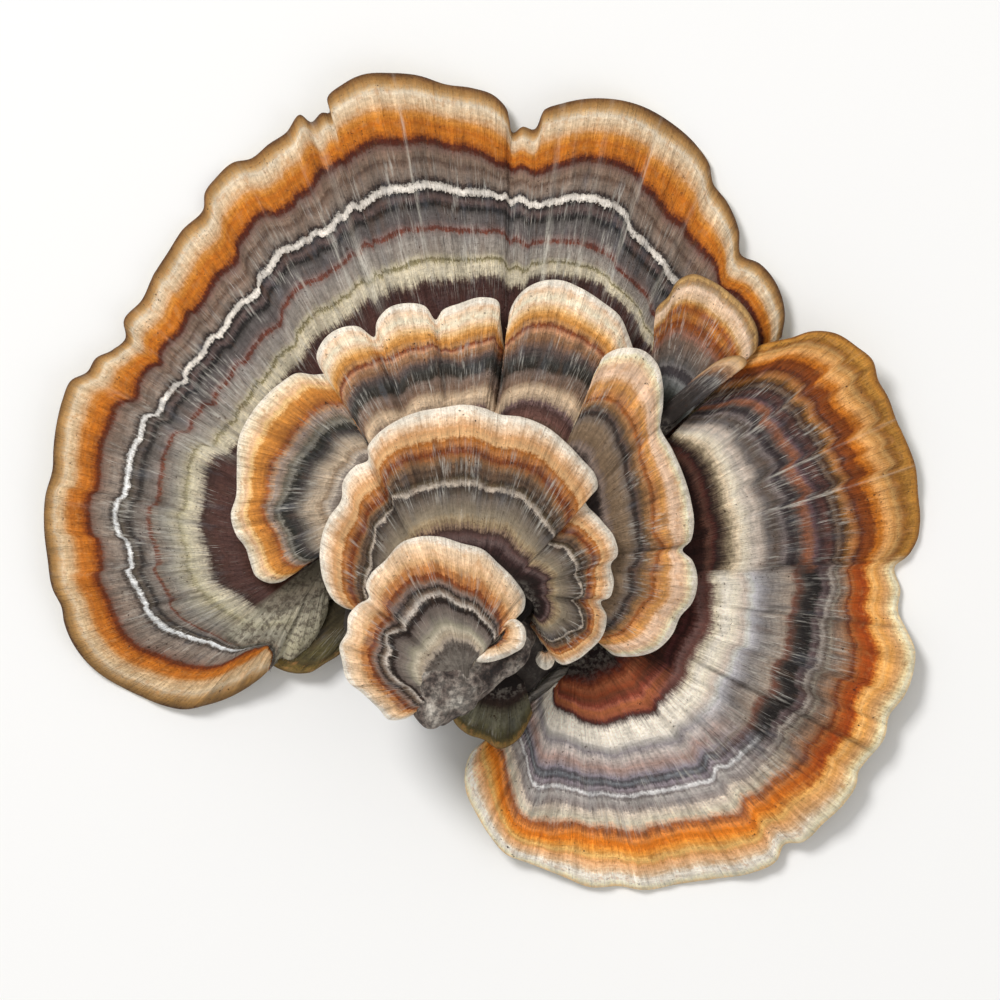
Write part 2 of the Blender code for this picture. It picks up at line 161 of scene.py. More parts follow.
FORMS["side_cap"] = dict(
    edge="""38.7 35.1; 40.2 36.9; 42.7 37.7; 44.6 38.1; 47.5 39; 50.8 38.7; 53.7 36.9; 55.8 35.1; 56.6 32.4;
    57.9 30.2; 59.1 27; 60.5 24; 61.7 20.8; 62.1 16.9; 62.4 13.5; 62 10.8; 60.6 8.5; 59 7.2; 59.7 4.1;
    59.4 1.1; 60.5 -1.4; 61.6 -4.1; 61.3 -7.4; 60.1 -10.4; 58.1 -13; 57.5 -15.9; 54.8 -19.4; 54 -20.5;
    53.6 -22.5; 52.1 -24.8; 49.3 -27.5; 46.3 -30.2; 44 -30.5; 42.9 -32.7; 39.4 -34.4; 34.4 -35.2; 29.7 -35.9;
    25 -36.7; 21.6 -36.2; 17.6 -36.3; 13.8 -34.8; 9.5 -33.1; 6.1 -31.7; 4.1 -29.4; 2.2 -26.3; .8 -23.2;
    .7 -20.2; 1.4 -18.2; 2.7 -16.9; 3.9 -16.6; 5.1 -17.6; 6.8 -16.9; 8 -15.9; 8.2 -13.8; 8.2 -11.6; 8.9 -10.4;
    10.3 -9.2; 11.7 -7.7; 13.2 -6.3""",
    fan="0 11.5 7.4; .25 14.2 5.4; .5 15.5 2; .7 15.4 -1.4; .8 15.8 -3.4; .88 17 -5.1; 1 17.8 -5.9",
    root="0 8 5.2 11; .25 10 4 10.6; .5 10.5 1.4 9.8; .75 10.8 -.5 8.8; .9 11.2 -1 7.8; 1 11.2 -1.2 7.4",
    edge_z="""0 8.6; .06 8; .16 5; .27 1.65; .36 4.2; .47 5.2; .56 3.2; .68 1.65; .8 4.2; .87 5.2; .92 5.6;
    1 6""",
    rings={
        .42: "0 .595; .033 .54; .067 .487; .1 .468; .133 .46; .167 .446; .2 .438; .233 .423; .267 .423; "
             ".29 .438; "
             ".33 .438; .36 .416; .4 .408; .433 .4; .5 .408; .533 .4; .567 .423; .6 .4; .667 .4; .7 .38; "
             ".733 .345; "
             ".767 .33; .8 .31; .833 .28; .86 .27; .9 .255; .95 .25; 1 .3",
        .755: "0 .75; .067 .75; .1 .747; .167 .758; .25 .762; .275 .78; .283 .802; .3 .81; .317 .802; "
              ".333 .78; "
              ".353 .75; .373 .74; .4 .743; .42 .762; .467 .75; .5 .743; .533 .735; .55 .728; .567 .738; "
              ".583 .72; "
              ".6 .713; .667 .703; .7 .691; .733 .688; .76 .698; .78 .743; .79 .735; .8 .698; .813 .654; "
              ".83 .63; "
              ".85 .62; .87 .66; .9 .74; .918 .84; .93 .94; .94 1.5; 1 1.9",
        .845: "0 .86; .067 .85; .1 .83; .13 .835; .2 .835; .27 .86; .3 .865; .34 .84; .353 .832; .4 .847; "
              ".42 .862; .433 .847; .467 .859; .5 .847; .533 .825; .55 .836; .567 .862; .583 .832; .6 .817; "
              ".633 .81; .667 .825; .7 .817; .733 .787; .747 .817; .76 .847; .78 .862; .8 .847; .82 .795; "
              ".833 .758; .85 .72; .87 .76; .9 .82; .918 .89; .93 .965; .94 1.7; 1 2.1",
    },
    end="0 1; .934 1; .946 2; 1 2.5",
    folds="""0.282 -.004 .55 1 1.5 .35 .5 .35 -.012; .45 0 .35 1 1 .4 .1 .8 .008; .342 0 .4 1 .9 .3 .05 .65
    .008;
    .2 0 .5 1 .9 .3 .15 .3 .02; .16 0 .5 1 .9 .3 .15 .3 .02; .1 0 .5 1 .9 .25 .15 .2 .02; .12 0 .75 1 .7
    .15 .1 .3 .01;
    .204 0 .55 .8 .4 .05 0 -.7; .164 0 .55 .8 .4 .05 0 -.7; .104 0 .55 .8 .4 .05 0 -.6; .18 0 .7 1 .6 .2 .1
    .4 .01;
    .235 0 .6 1 .7 .15 0 .2; .4 0 .4 .98 .7 .18 0 .25 .01; .425 0 .6 1 .9 .25 .1 .35 -.01; .47 0 .6 1 .8 .2
    .05 .3 .008;
    .49 0 .5 .95 .6 .15 0 .2; .53 0 .4 1 .8 .2 .05 .3; .567 0 .3 1 1 .3 0 .35; .58 0 .5 .9 .5 .12 0 .2;
    .605 0 .4 .95 .6 .15 0 .25; .65 0 .4 .95 .6 .14 0 .2; .7 0 .4 .95 .6 .14 0 .2; .735 0 .4 1 .7 .2 .05 .3;
    .77 0 .5 1 .9 .3 .1 .35; .82 0 .5 1 1.2 .4 .1 .45; .31 0 .4 .9 .5 .12 0 .15; .375 0 .4 .9 .5 .12 0 .15;
    .06 0 .6 1 .9 .2 .05 .3""",
    lip="0.93 .9",
    terrace="0 0; .3 -.05; .41 .02; .43 .2; .6 .1; .66 .02; .74 .1; .757 .22; .78 0; .84 0; .87 .22; .93 "
            ".3; .97 .2; 1 0",
    thickness=1.6, rim_drop=.5, grid=(470, 100), low_rows=4,
)
for name, form in FORMS.items():
    print(name, "edge points:", len(numbers(form["edge"])), "zones placed:", len(form["rings"]))

# %% Forms of the three middle caps
FORMS["middle_left_cap"] = dict(
    edge="""-22.1 7.8; -23.6 5.4; -25.7 5; -27.4 5.8; -28.4 8.1; -28.9 9.7; -30.2 11.5; -30.9 14.2; -30.2
    16.7;
    -30.1 20.2; -29.8 24.6; -28.4 27.5; -26.7 29.7; -24.3 31.9; -21.9 33.3; -19.7 33.1; -17.8 33.1; -16.7
    31.1;
    -16.2 28.6""",
    fan="0 -8.1 16.2; 1 -6.8 17.8",
    root="0 -9.5 2 14.2; .5 -8 5 14.4; 1 -6.5 6.5 14.4",
    edge_z="0 11.8; .2 11; .5 11.6; .8 11.8; 1 12.2",
    rings={
        .68: "0 .7; .35 .69; .4 .665; .5 .62; .55 .6; .6 .565; .65 .55; .7 .575; .75 .575; .8 .54; 1 .54",
        .81: "0 .79; .18 .79; .3 .8; .4 .81; .45 .81; .5 .793; .55 .745; .6 .72; .8 .733; 1 .74",
    },
    folds=".6 0 .4 1 1.2 .3 .1 .4; .3 0 .6 1 1 .3 .1 .3; .48 0 .6 1 .7 .15 0 .2; .75 0 .5 1 .8 .2 0 .3",
    terrace="0 0; .6 .1; .68 0; .72 .1; .78 .02; .84 .15; .92 .3; .97 .2; 1 0",
    thickness=1.7, rim_drop=.8, grid=(210, 84), low_rows=4,
)
FORMS["middle_cap"] = dict(
    edge="""-15.5 29.2; -16.5 31.3; -18.6 33.6; -19.3 35.5; -18.6 37.4; -16.5 39.2; -13.8 39.6; -11.5 38.2;
    -11.2 40.2; -9.7 42; -7 42.7; -4.7 42.3; -3.2 40.5; -2.4 41.7; 0 42.7; 3 43.5; 5 43.1; 5.5 40.2; 6.1 36.5;
    6.5 39.2; 6.9 42.1; 8.4 44.3; 10.8 45.6; 13.5 45.8; 16.2 44.8; 19.2 42.9; 21.6 40.9; 22.7 38.5; 23.5
    36.2""",
    fan="0 -6.8 13.5; .5 1.4 16.9; 1 9.5 15.5",
    root="0 -5.5 7.5 15; .5 0 9.5 14.6; 1 6 8.5 13.5",
    edge_z=".0 13.4; .15 13.8; .24 13.2; .32 14; .42 13.2; .5 13.8; .57 12.6; .7 13.8; .9 12.6; 1 12",
    rings={
        .44: "0 .44; .6 .43; .7 .425; .8 .443; .9 .45; 1 .45",
        .64: "0 .65; .1 .65; .2 .65; .235 .715; .27 .64; .35 .64; .4 .74; .45 .65; .5 .65; .58 .78; .61 .88; "
             ".63 .75; .7 .67; .75 .63; .85 .63; .9 .67; 1 .68",
        .795: "0 .77; .12 .77; .2 .785; .235 .88; .27 .79; .3 .77; .35 .77; .395 .84; .43 .77; .5 .77; "
              ".57 .86; "
              ".6 .98; .62 .97; .65 .85; .72 .785; .8 .8; .9 .8; 1 .81",
    },
    folds="""0.235 0 .5 1 1 .5 .1 .5; .4 0 .5 1 .9 .45 .1 .5; .605 0 .5 1 1 .9 0 .8; .32 0 .5 .95 .6 .12 0 .2;
    .5 0 .5 1 .7 .2 0 .25; .16 0 .5 .95 .6 .14 0 .2; .7 0 .5 1 .8 .15 0 .2; .8 0 .5 1 .8 .2 .05 .25;
    .88 0 .4 1 .8 .15 0 .2""",
    terrace="0 0; .43 0; .46 .14; .6 .1; .64 0; .7 .1; .77 .02; .83 .15; .92 .32; .97 .2; 1 0",
    thickness=1.7, rim_drop=.8, grid=(276, 78), low_rows=4,
)
FORMS["middle_right_cap"] = dict(
    edge="""18.6 31.3; 18.5 33.8; 19.7 35.8; 22.3 36.7; 24.7 36.3; 26.5 34.6; 27.3 31.7; 27.3 28.6; 27 26.1;
    28.6 23; 30.1 19.6; 31.1 16.2; 31.5 12.4; 31.1 10.7; 30 9.5; 31.3 8.1; 32 5.4; 31.3 2.4; 29.7 .5;
    28.6 -1.9; 26.3 -4.1; 23 -4.9; 20.5 -4.6; 19 -2.8""",
    fan="0 10.8 16.2; .4 12.4 10.8; .75 12.2 6.1; 1 11.5 2.7",
    root="0 7 8 16.6; .35 9 4.5 16.4; .7 9 1 16; 1 8.5 -1 15.6",
    edge_z="0 15.2; .15 15.2; .35 14.8; .55 13.4; .62 12.8; .8 13.4; 1 12.8",
    rings={
        .58: "0 .6; .2 .6; .25 .6; .3 .656; .33 .69; .36 .656; .4 .634; .45 .605; .55 .605; .6 .65; .63 .65; "
             ".67 .545; .7 .545; .75 .58; 1 .58",
        .76: "0 .7; .15 .7; .2 .7; .3 .78; .33 .825; .36 .79; .4 .77; .45 .757; .5 .735; .55 .723; .58 .77; "
             ".61 .85; .64 .77; .68 .7; .75 .723; .8 .7; 1 .7",
    },
    folds="""0.33 0 .5 1 1 .4 .1 .45; .605 0 .4 1 1.1 .6 .1 .6; .2 0 .6 1 .8 .2 0 .25; .45 0 .5 1 .8 .2 0 .25;
    .52 0 .5 .95 .6 .15 0 .2; .75 0 .5 1 .8 .2 .05 .3; .87 0 .5 1 .8 .25 .05 .3; .4 0 .6 1 .6 .14 0 .2""",
    terrace="0 0; .5 .1; .57 0; .65 .1; .74 .02; .8 .15; .9 .32; .97 .2; 1 0",
    thickness=1.7, rim_drop=.9, grid=(270, 84), low_rows=4,
)

# %% Forms of the two upper caps
FORMS["inner_cap"] = dict(
    edge="""-11.9 3; -14.6 1.5; -16.9 2.7; -18.2 5; -18.8 8.1; -18.5 11.5; -17.6 13.8; -15.9 16.3; -15.7 18.6;
    -14 20.8; -12.3 21.6; -12.4 23.2; -11.3 24.8; -8.4 26.9; -5.4 28.1; -2.4 28.6; .7 29; 3.4 28.5; 5.4 27.7;
    8.1 27.4; 11.5 26.1; 14.3 23.9; 16.5 21.6; 18.1 19.8; 18.5 17.8; 16.9 16.3; 19 13.5; 20.8 11.1; 21.1 8.6;
    20.4 7.8; 20.7 5.1; 20 3; 19 2.6; 19.7 .7; 19.2 -2; 17.3 -4.1; 15.5 -5.4; 13.8 -5.9; 12.4 -5; 11.2 -3.4;
    10.3 -1.9; 9.3 -.9""",
    fan="0 -4.1 -.7; .3 -1.4 2; .6 4.1 2.7; .8 7.6 3.8; .9 9.5 2.7; 1 10 1.6",
    root="0 -2.5 -3 20.4; .3 -.5 -1 21; .6 3 -1 21; 1 5.5 -3 20.4",
    edge_z="0 18.6; .15 17.8; .4 18.4; .6 18.2; .8 18; .92 17.6; 1 18.4",
    rings={
        .39: "0 .385; .35 .385; .5 .375; .55 .36; .6 .33; .65 .32; .7 .342; .75 .364; .8 .33; .9 .3; 1 .3",
        .605: "0 .61; .1 .615; .15 .57; .17 .615; .2 .672; .24 .645; .28 .69; .31 .61; .5 .61; .55 .59; "
              ".6 .57; "
              ".63 .55; .68 .57; .7 .635; .75 .62; .8 .69; .83 .657; .87 .743; .89 .645; .93 .6; 1 .6",
        .76: "0 .71; .1 .71; .15 .71; .2 .755; .25 .72; .3 .785; .35 .76; .4 .76; .5 .745; .55 .737; .6 .72; "
             ".63 .69; .66 .64; .69 .755; .72 .775; .77 .755; .8 .72; .87 .8; .92 .74; 1 .75",
    },
    folds="""0.265 0 .45 1 1.1 .5 .2 .5; .615 .03 .4 1 1 .35 .15 .45; .78 0 .3 1 .9 .4 .1 .5;
    .83 0 .3 1 .9 .4 .1 .4; .745 0 .4 1 .8 .25 0 .4; .88 0 .4 1 .9 .35 .1 .45; .17 0 .6 1 .7 .2 .05 .25;
    .34 0 .6 .98 .7 .15 0 .2; .42 0 .5 .95 .6 .12 0 .15; .5 0 .5 .98 .6 .14 0 .2; .56 0 .5 .98 .6 .14 0 .2;
    .68 0 .4 .98 .8 .2 0 .3; .12 0 .6 1 .7 .15 0 .2""",
    terrace="0 0; .38 0; .41 .12; .55 .1; .6 .18; .63 .02; .72 .05; .76 0; .82 .16; .92 .35; .97 .2; 1 0",
    thickness=1.9, rim_drop=1.0, grid=(331, 86), low_rows=4,
)
FORMS["top_cap"] = dict(
    edge="""-4.9 -11.6; -7.4 -13.1; -9.7 -13.1; -10.7 -11.9; -13 -9.7; -15.1 -7.8; -15.8 -5.1; -16.1 -3.4;
    -15.1 -1.4; -14.9 .7; -13.5 2.3; -12.2 3.1; -12.6 4.7; -11.9 6.3; -10 8.1; -7.8 10.5; -5.4 11.3; -2.7
    11.3;
    .3 10.4; 3.1 9.6; 5.1 7.8; 7.4 5.5; 8.8 3; 8.4 1.2; 6.9 .3; 5.4 -.7; 4.1 -2.4; 3 -4.1""",
    fan="0 -2 -9.5; .35 -1.4 -7; .7 .7 -5.7; 1 1.4 -6.5",
    root="0 -.5 -10 25.6; .35 0 -9 25.8; .7 .8 -8 25.8; 1 1.5 -8.5 25.4",
    edge_z="0 24; .1 23.2; .25 22.6; .5 22.4; .8 22.8; .9 23.2; 1 24.6",
    rings={
        .22: "0 .2; 1 .2",
        .55: "0 .4; .1 .43; .15 .42; .2 .48; .22 .525; .25 .56; .3 .55; .35 .62; .4 .54; .5 .545; .6 .535; "
             ".63 .5; .66 .48; .75 .46; .85 .46; 1 .5",
        .72: "0 .6; .1 .66; .15 .67; .2 .68; .25 .715; .3 .715; .35 .7; .4 .735; .5 .735; .55 .675; .6 .685; "
             ".65 .64; .7 .61; .8 .6; .86 .56; 1 .6",
    },
    folds="""0.387 0 .35 1 1.2 .55 -.45 .6; .18 0 .6 1 .9 .3 .05 .3; .27 0 .5 1 .8 .3 .05 .3;
    .84 -.02 .4 1 1 .3 .1 .5; .5 0 .6 .98 .7 .15 0 .2; .6 0 .6 .98 .7 .15 0 .2; .7 0 .6 1 .8 .2 0 .25;
    .1 0 .6 1 .9 .35 .1 .4; .33 0 .6 1 .6 .12 0 .15""",
    terrace="0 0; .5 .1; .55 .18; .58 .02; .68 .05; .72 0; .8 .18; .9 .36; .97 .2; 1 0",
    thickness=1.9, rim_drop=1.1, grid=(239, 78), low_rows=4,
)
FORMS["top_curl"] = dict(
    edge="""6.1 0; 7.4 .3; 8.5 -.5; 8.9 -1.9; 8.5 -3.4; 7.2 -4.3; 5.4 -5.1; 3.6 -5.5; 2 -5.3; 1.1 -4.2;
    1.2 -3.1; 2.4 -2.4""",
    fan="0 5.5 -1.1; .5 4.6 -2.7; 1 3.4 -3.4",
    root="0 4.4 -1.9 24.2; .5 3.9 -3 24.3; 1 3.2 -3.8 24.3",
    edge_z="0 24.4; .3 25; .6 25.3; 1 25",
    rings={.55: "0 .2; .5 .1; 1 .1", .72: "0 .3; .5 .15; 1 .12", .9: "0 .55; .3 .6; .6 .35; .8 .2; 1 .18"},
    folds=".8 0 .3 1 .8 .3 .05 .4",
    terrace="0 -.3; .7 -.2; .8 .1; .92 .4; .97 .3; 1 0",
    thickness=1.5, rim_drop=.5, grid=(110, 26), low_rows=3,
)

FORMS["inner_knob"] = dict(
    edge="10.5 -4.2; 10.2 -5.2; 10.7 -6.2; 11.6 -6.6; 12.5 -6; 12.7 -5; 12.2 -4.2",
    fan="0 11.2 -4; 1 11.8 -3.9",
    root="0 11 -2.6 17.6; 1 11.8 -2.6 17.6",
    edge_z="0 17.4; 1 17.4",
    rings={.93: "0 .15; 1 .15"},
    folds=".5 0 .3 1 .6 .1 0 .2",
    terrace="0 0; .93 .2; 1 0",
    thickness=1.5, rim_drop=.3, grid=(60, 14), low_rows=3,
)

# %% Forms of the small flaps and the two olive caps
FORMS["upper_flap"] = dict(
    edge="""26.5 40.5; 26.6 42.1; 28.1 43.7; 29.4 45.8; 31.3 46.7; 34 45.8; 36.7 43.9; 38.9 41.6; 40.2 38.9;
    40 36.5; 38.3 34.8""",
    fan="0 24.6 24.3; 1 26.3 23.6",
    root="0 9.5 7.5 12.6; 1 10.5 6 12.6",
    edge_z="0 9.4; .5 8.6; 1 10.4",
    rings={.45: "0 .5; .3 .45; 1 .45", .7: "0 .74; .3 .7; 1 .69"},
    folds=".25 0 .5 1 .9 .3 .1 .4; .6 0 .5 1 .7 .15 0 .25; .8 0 .5 1 .7 .2 0 .3",
    terrace="0 0; .45 .05; .66 .1; .7 0; .78 .15; .88 .28; .95 .2; 1 0",
    thickness=1.3, rim_drop=.7, grid=(130, 70), low_rows=3,
)
FORMS["narrow_flap"] = dict(
    edge="32.4 33.2; 34.3 34.7; 36.5 35.6; 38.1 35.5; 38.7 34.8; 37.8 33.8",
    fan="0 24.3 26.3; 1 25.4 24",
    root="0 9.8 7 13.9; 1 10.6 5.2 13.9",
    edge_z="0 11.8; 1 11.8",
    rings={.7: "0 .75; 1 .72"},
    folds=".5 0 .5 1 .7 .2 .1 .3",
    terrace="0 0; .7 0; .8 .15; .9 .25; 1 0",
    thickness=1.1, rim_drop=.5, grid=(60, 60), low_rows=3,
)
FORMS["olive_left_cap"] = dict(
    edge="-14 1.4; -14.9 -2.7; -16.2 -4.6; -18.2 -5.9; -20.5 -7.2; -23 -7.2; -25.4 -6.2; -27.5 -4.1; -28 "
         "-1.6",
    fan="0 -10.1 2.7; 1 -12.8 4.7",
    root="0 -8 1 5.4; 1 -9 3.5 5.6",
    edge_z="0 3.9; .5 3.2; 1 3.4",
    rings={.5: "0 .5; 1 .5"},
    folds=".4 0 .4 1 1.4 .25 .1 .2; .7 0 .4 1 1.2 .2 0 .2",
    terrace="0 0; .8 .1; .93 .2; 1 0",
    thickness=1.4, rim_drop=.4, grid=(130, 40), low_rows=3,
)
FORMS["olive_front_cap"] = dict(
    edge="9.8 -12.6; 8.9 -14.6; 8.1 -15.9; 5.1 -17.4; 3.2 -16.2; 1.1 -15.5; -.5 -14.2; -1.5 -12.4",
    fan="0 8.7 -8.4; .5 5.2 -9.2; 1 2.2 -8.6",
    root="0 6.5 -6 11; .5 4 -7 11; 1 1.5 -6.5 11",
    edge_z="0 9.2; .5 8; 1 8.8",
    rings={.5: "0 .5; 1 .5"},
    folds=".35 0 .2 1 1.2 .4 .1 .4; .7 0 .3 1 1.2 .3 0 .3",
    terrace="0 0; .8 .1; .93 .2; 1 0",
    thickness=1.4, rim_drop=.4, grid=(110, 40), low_rows=3,
)
print("forms:", ", ".join(FORMS))

# %% [markdown]
# ## One bracket as a closed leathery shell
# A real bracket is a tough skin over white flesh: domed on top, blunt and rounded at the
# edge, full of pores below. It could be a sheet with a Solidify modifier, but that leaves a
# square rim. Here the upper and lower sides are two grids of rays that share their edge,
# and the half thickness shrinks along a quarter circle near it, so the rim is round. The
# heights are a sum: the slow fall from root to edge, lobes, creases, ring terraces and a
# seeded waviness.

# %% Build the shell grid
SIDE_ROWS = 7        # rows in the rounded rim
TUCK_ROWS = 10       # rows between the foot and the start of the fan
EDGE_RADIUS = 1.1    # mm
FALL = 1.7           # how late a ray bends down


def rounded(distance, radius):
    """Share of the full thickness at a distance from an edge, along a quarter circle."""
    return np.sqrt(np.clip(1 - (1 - np.minimum(distance / radius, 1)) ** 2, 0, 1))


def smoothed(values, sigma):
    """A row of numbers blurred by a bell of that many samples."""
    reach = int(3 * sigma) + 1
    bell = np.exp(-0.5 * (np.arange(-reach, reach + 1) / sigma) ** 2)
    return np.convolve(np.pad(values, reach, mode="edge"), bell / bell.sum(), mode="valid")


def waviness(along_mm, seed, longest, shortest):
    """Slow seeded waves along the edge, between -1 and 1."""
    chance = np.random.default_rng(seed)
    total = np.zeros_like(along_mm)
    for wave in np.geomspace(longest, shortest, 6):
        total += np.sin(along_mm * 2 * np.pi / wave + chance.uniform(0, 6.28)) * (wave / longest) ** 0.6
    return total / 2.2


def lay_out(form, seed):
    """Columns and rows of a bracket: plan, heights, zone number and marks, in mm."""
    edge = np.array(numbers(form["edge"]))
    steps = np.linalg.norm(np.diff(edge, axis=0), axis=1)
    knots, length = np.r_[0, np.cumsum(steps)] / steps.sum(), steps.sum()
    turn = EDGE_RADIUS * (1 - np.cos(np.linspace(0, np.pi / 2, SIDE_ROWS))) / length
    u = np.r_[turn[:-1], np.linspace(turn[-1], 1 - turn[-1], form["grid"][0]), 1 - turn[:-1][::-1]]
    rim = curve_through(knots, edge, u)

    def table(text):
        rows = np.array(numbers(text))
        return curve_through(rows[:, 0], rows[:, 1:], u)

    fan, root, edge_z = table(form["fan"]), table(form["root"]), table(form["edge_z"])[:, 0]
    ray = np.linalg.norm(rim - fan, axis=1)
    tuck = np.linalg.norm(fan - root[:, :2], axis=1)
    rows = form["grid"][1]
    rim_rows = EDGE_RADIUS * (1 - np.cos(np.linspace(0, np.pi / 2, SIDE_ROWS)))
    inward = np.r_[np.zeros(SIDE_ROWS), np.linspace(0, 1, rows + 1)[1:]]
    from_edge = np.r_[rim_rows, np.full(rows, EDGE_RADIUS)]
    gap = from_edge[None] + (ray[:, None] - EDGE_RADIUS) * inward[None]      # mm from the edge
    t = 1 - gap / ray[:, None]
    plan = fan[:, None] + (rim - fan)[:, None] * t[..., None]
    share = (tuck[:, None] + t * ray[:, None]) / (tuck + ray)[:, None]
    back = np.linspace(0, 1, TUCK_ROWS + 1)[1:]
    tucked = fan[:, None] + (root[:, :2] - fan)[:, None] * back[None, :, None]
    plan = np.concatenate([plan, tucked], axis=1)
    share = np.c_[share, (tuck / (tuck + ray))[:, None] * (1 - back[None])]
    t = np.c_[t, np.zeros((len(u), TUCK_ROWS))]
    gap = np.c_[gap, np.repeat(ray[:, None], TUCK_ROWS, axis=1) + tuck[:, None] * back[None]]
    base = root[:, 2:3] + (edge_z[:, None] - root[:, 2:3]) * share**FALL
    return dict(u=u, t=t, plan=plan, share=share, gap=gap, base=base, ray=ray, length=length,
                outward=(rim - fan) / ray[:, None], seed=seed)


sample = lay_out(FORMS["great_cap"], 1)
print("great cap edge, mm:", round(sample["length"], 1), "grid:", sample["t"].shape)

# %% [markdown]
# ## Zones, creases and lobes
# The colours and the relief of a bracket both follow its growth rings. Each point gets a
# zone number v, read from the ring tables, which the skin materials turn into colour. The
# creases lower the surface in narrow valleys and leave a mark that the skin turns into
# painted shade, or into pale fibres where the mark is negative. A lobe of
# the edge also swells the surface behind it, so the height follows how far the edge juts
# out against its own blurred line.

# %% Zone number and relief
def zones_of(form, grid):
    """The zone number v of every point, from the ring tables."""
    u, t = grid["u"], grid["t"]
    numbers_v = [0, *sorted(form["rings"]), 1]
    places = [np.zeros(len(u))]
    for v in numbers_v[1:-1]:
        rows = np.array(numbers(form["rings"][v]))
        places.append(np.interp(u, rows[:, 0], rows[:, 1]))
    rows = np.array(numbers(form.get("end", "0 1; 1 1")))
    places.append(np.interp(u, rows[:, 0], rows[:, 1]))
    blur = len(u) * 0.0022
    places = [smoothed(p, blur) for p in places]
    v = np.empty_like(t)
    for i in range(len(u)):
        at = np.maximum.accumulate([p[i] for p in places])
        v[i] = np.interp(t[i], at + np.arange(len(at)) * 1e-6, numbers_v)
    along = u[:, None] * grid["length"]
    for place, drift, start, stop, *_, jump in (row for row in numbers(form["folds"]) if len(row) > 8):
        across = (along - (place + drift * (1 - t)) * grid["length"]) * np.clip(t, 0.3, 1)
        inside = np.clip((t - start) / 0.12, 0, 1) * np.clip((stop + 0.02 - t) / 0.08, 0, 1)
        v += jump * np.tanh(across / 0.2) * np.exp(-np.abs(across) / 3.5) * inside * np.clip((1 - t) / 0.06,
            0, 1)
    return v


def relief(form, grid, v):
    """Height to add to both sides, height to add on top, the crease marks (painted shade, or pale fibres
    where negative) and the speckle marks.
    """
    u, t, share, length = grid["u"], grid["t"], grid["share"], grid["length"]
    along = u[:, None] * length
    body, crease_shade_and_fibres = np.zeros_like(t), np.zeros_like(t)
    lobe = grid["ray"] - smoothed(grid["ray"], len(u) * 7 / length)
    body += form.get("lobes", 0.3) * np.clip(lobe, -2.5, 2)[:, None] * share**4
    body += 0.38 * waviness(u * length, grid["seed"], 26, 5)[:, None] * share**3
    body -= form["rim_drop"] * np.clip((share - 0.86) / 0.14, 0, 1) ** 2
    for place, drift, start, stop, width, depth, step, dark, *_ in numbers(form["folds"]):
        across = (along - (place + drift * (1 - t)) * length) * np.clip(t, 0.3, 1)
        inside = np.clip((t - start) / 0.12, 0, 1) * np.clip((stop + 0.02 - t) / 0.08, 0.25, 1)
        valley = np.exp(-((across / (0.55 * width)) ** 2)) * inside
        body -= depth * valley
        body += step * np.tanh(across / (0.4 * width)) * np.exp(-np.abs(across) / (4 * width)) * inside
        # painted shade along each crease valley; a negative dark marks pale fibres instead
        crease_shade_and_fibres += dark * np.exp(-((across / (0.28 * width)) ** 2)) * inside
    speckle = np.zeros_like(t)
    if "speckled" in form:
        low, high = numbers(form["speckled"])[0]
        speckle += np.clip((u[:, None] - low) / 0.01 + 0.5, 0, 1) * np.clip((high - u[:, None]) / 0.012, 0, 1)
    if "ledge" in form:
        low, high, height, line = form["ledge"]
        rows = np.array(numbers(line))
        line_t = np.interp(u, rows[:, 0], rows[:, 1])[:, None]
        above = (t - line_t) * grid["ray"][:, None]
        fade = np.clip((high - u[:, None]) / 0.02, 0, 1)
        body += height * (0.5 + 0.5 * np.tanh(above / 0.35)) * fade
        # painted shadow just below the ledge, on the lower speckled lobe
        crease_shade_and_fibres += 0.75 * np.exp(-(((above + 0.35) / 0.45) ** 2)) * fade
        speckle *= 0.5 - 0.5 * np.tanh((above + 0.2) / 0.3)
    if "lip" in form:
        low, height = numbers(form["lip"])[0]
        turned = np.clip((u[:, None] - low) / 0.03, 0, 1)
        body += height * turned * np.exp(-grid["gap"] / 1.6) * (1 - np.exp(-grid["gap"] / 0.25))
    rows = np.array(numbers(form["terrace"]))
    top = curve_through(rows[:, 0], rows[:, 1:], v.ravel())[:, 0].reshape(v.shape)
    return body, top, np.clip(crease_shade_and_fibres, -1, 1), speckle


# %% Close the shell
DOWN_BY_ZONE = "0 .5; .35 .9; .5 1; .6 .8; .78 .6; .84 .15; .9 .03; 1 0"


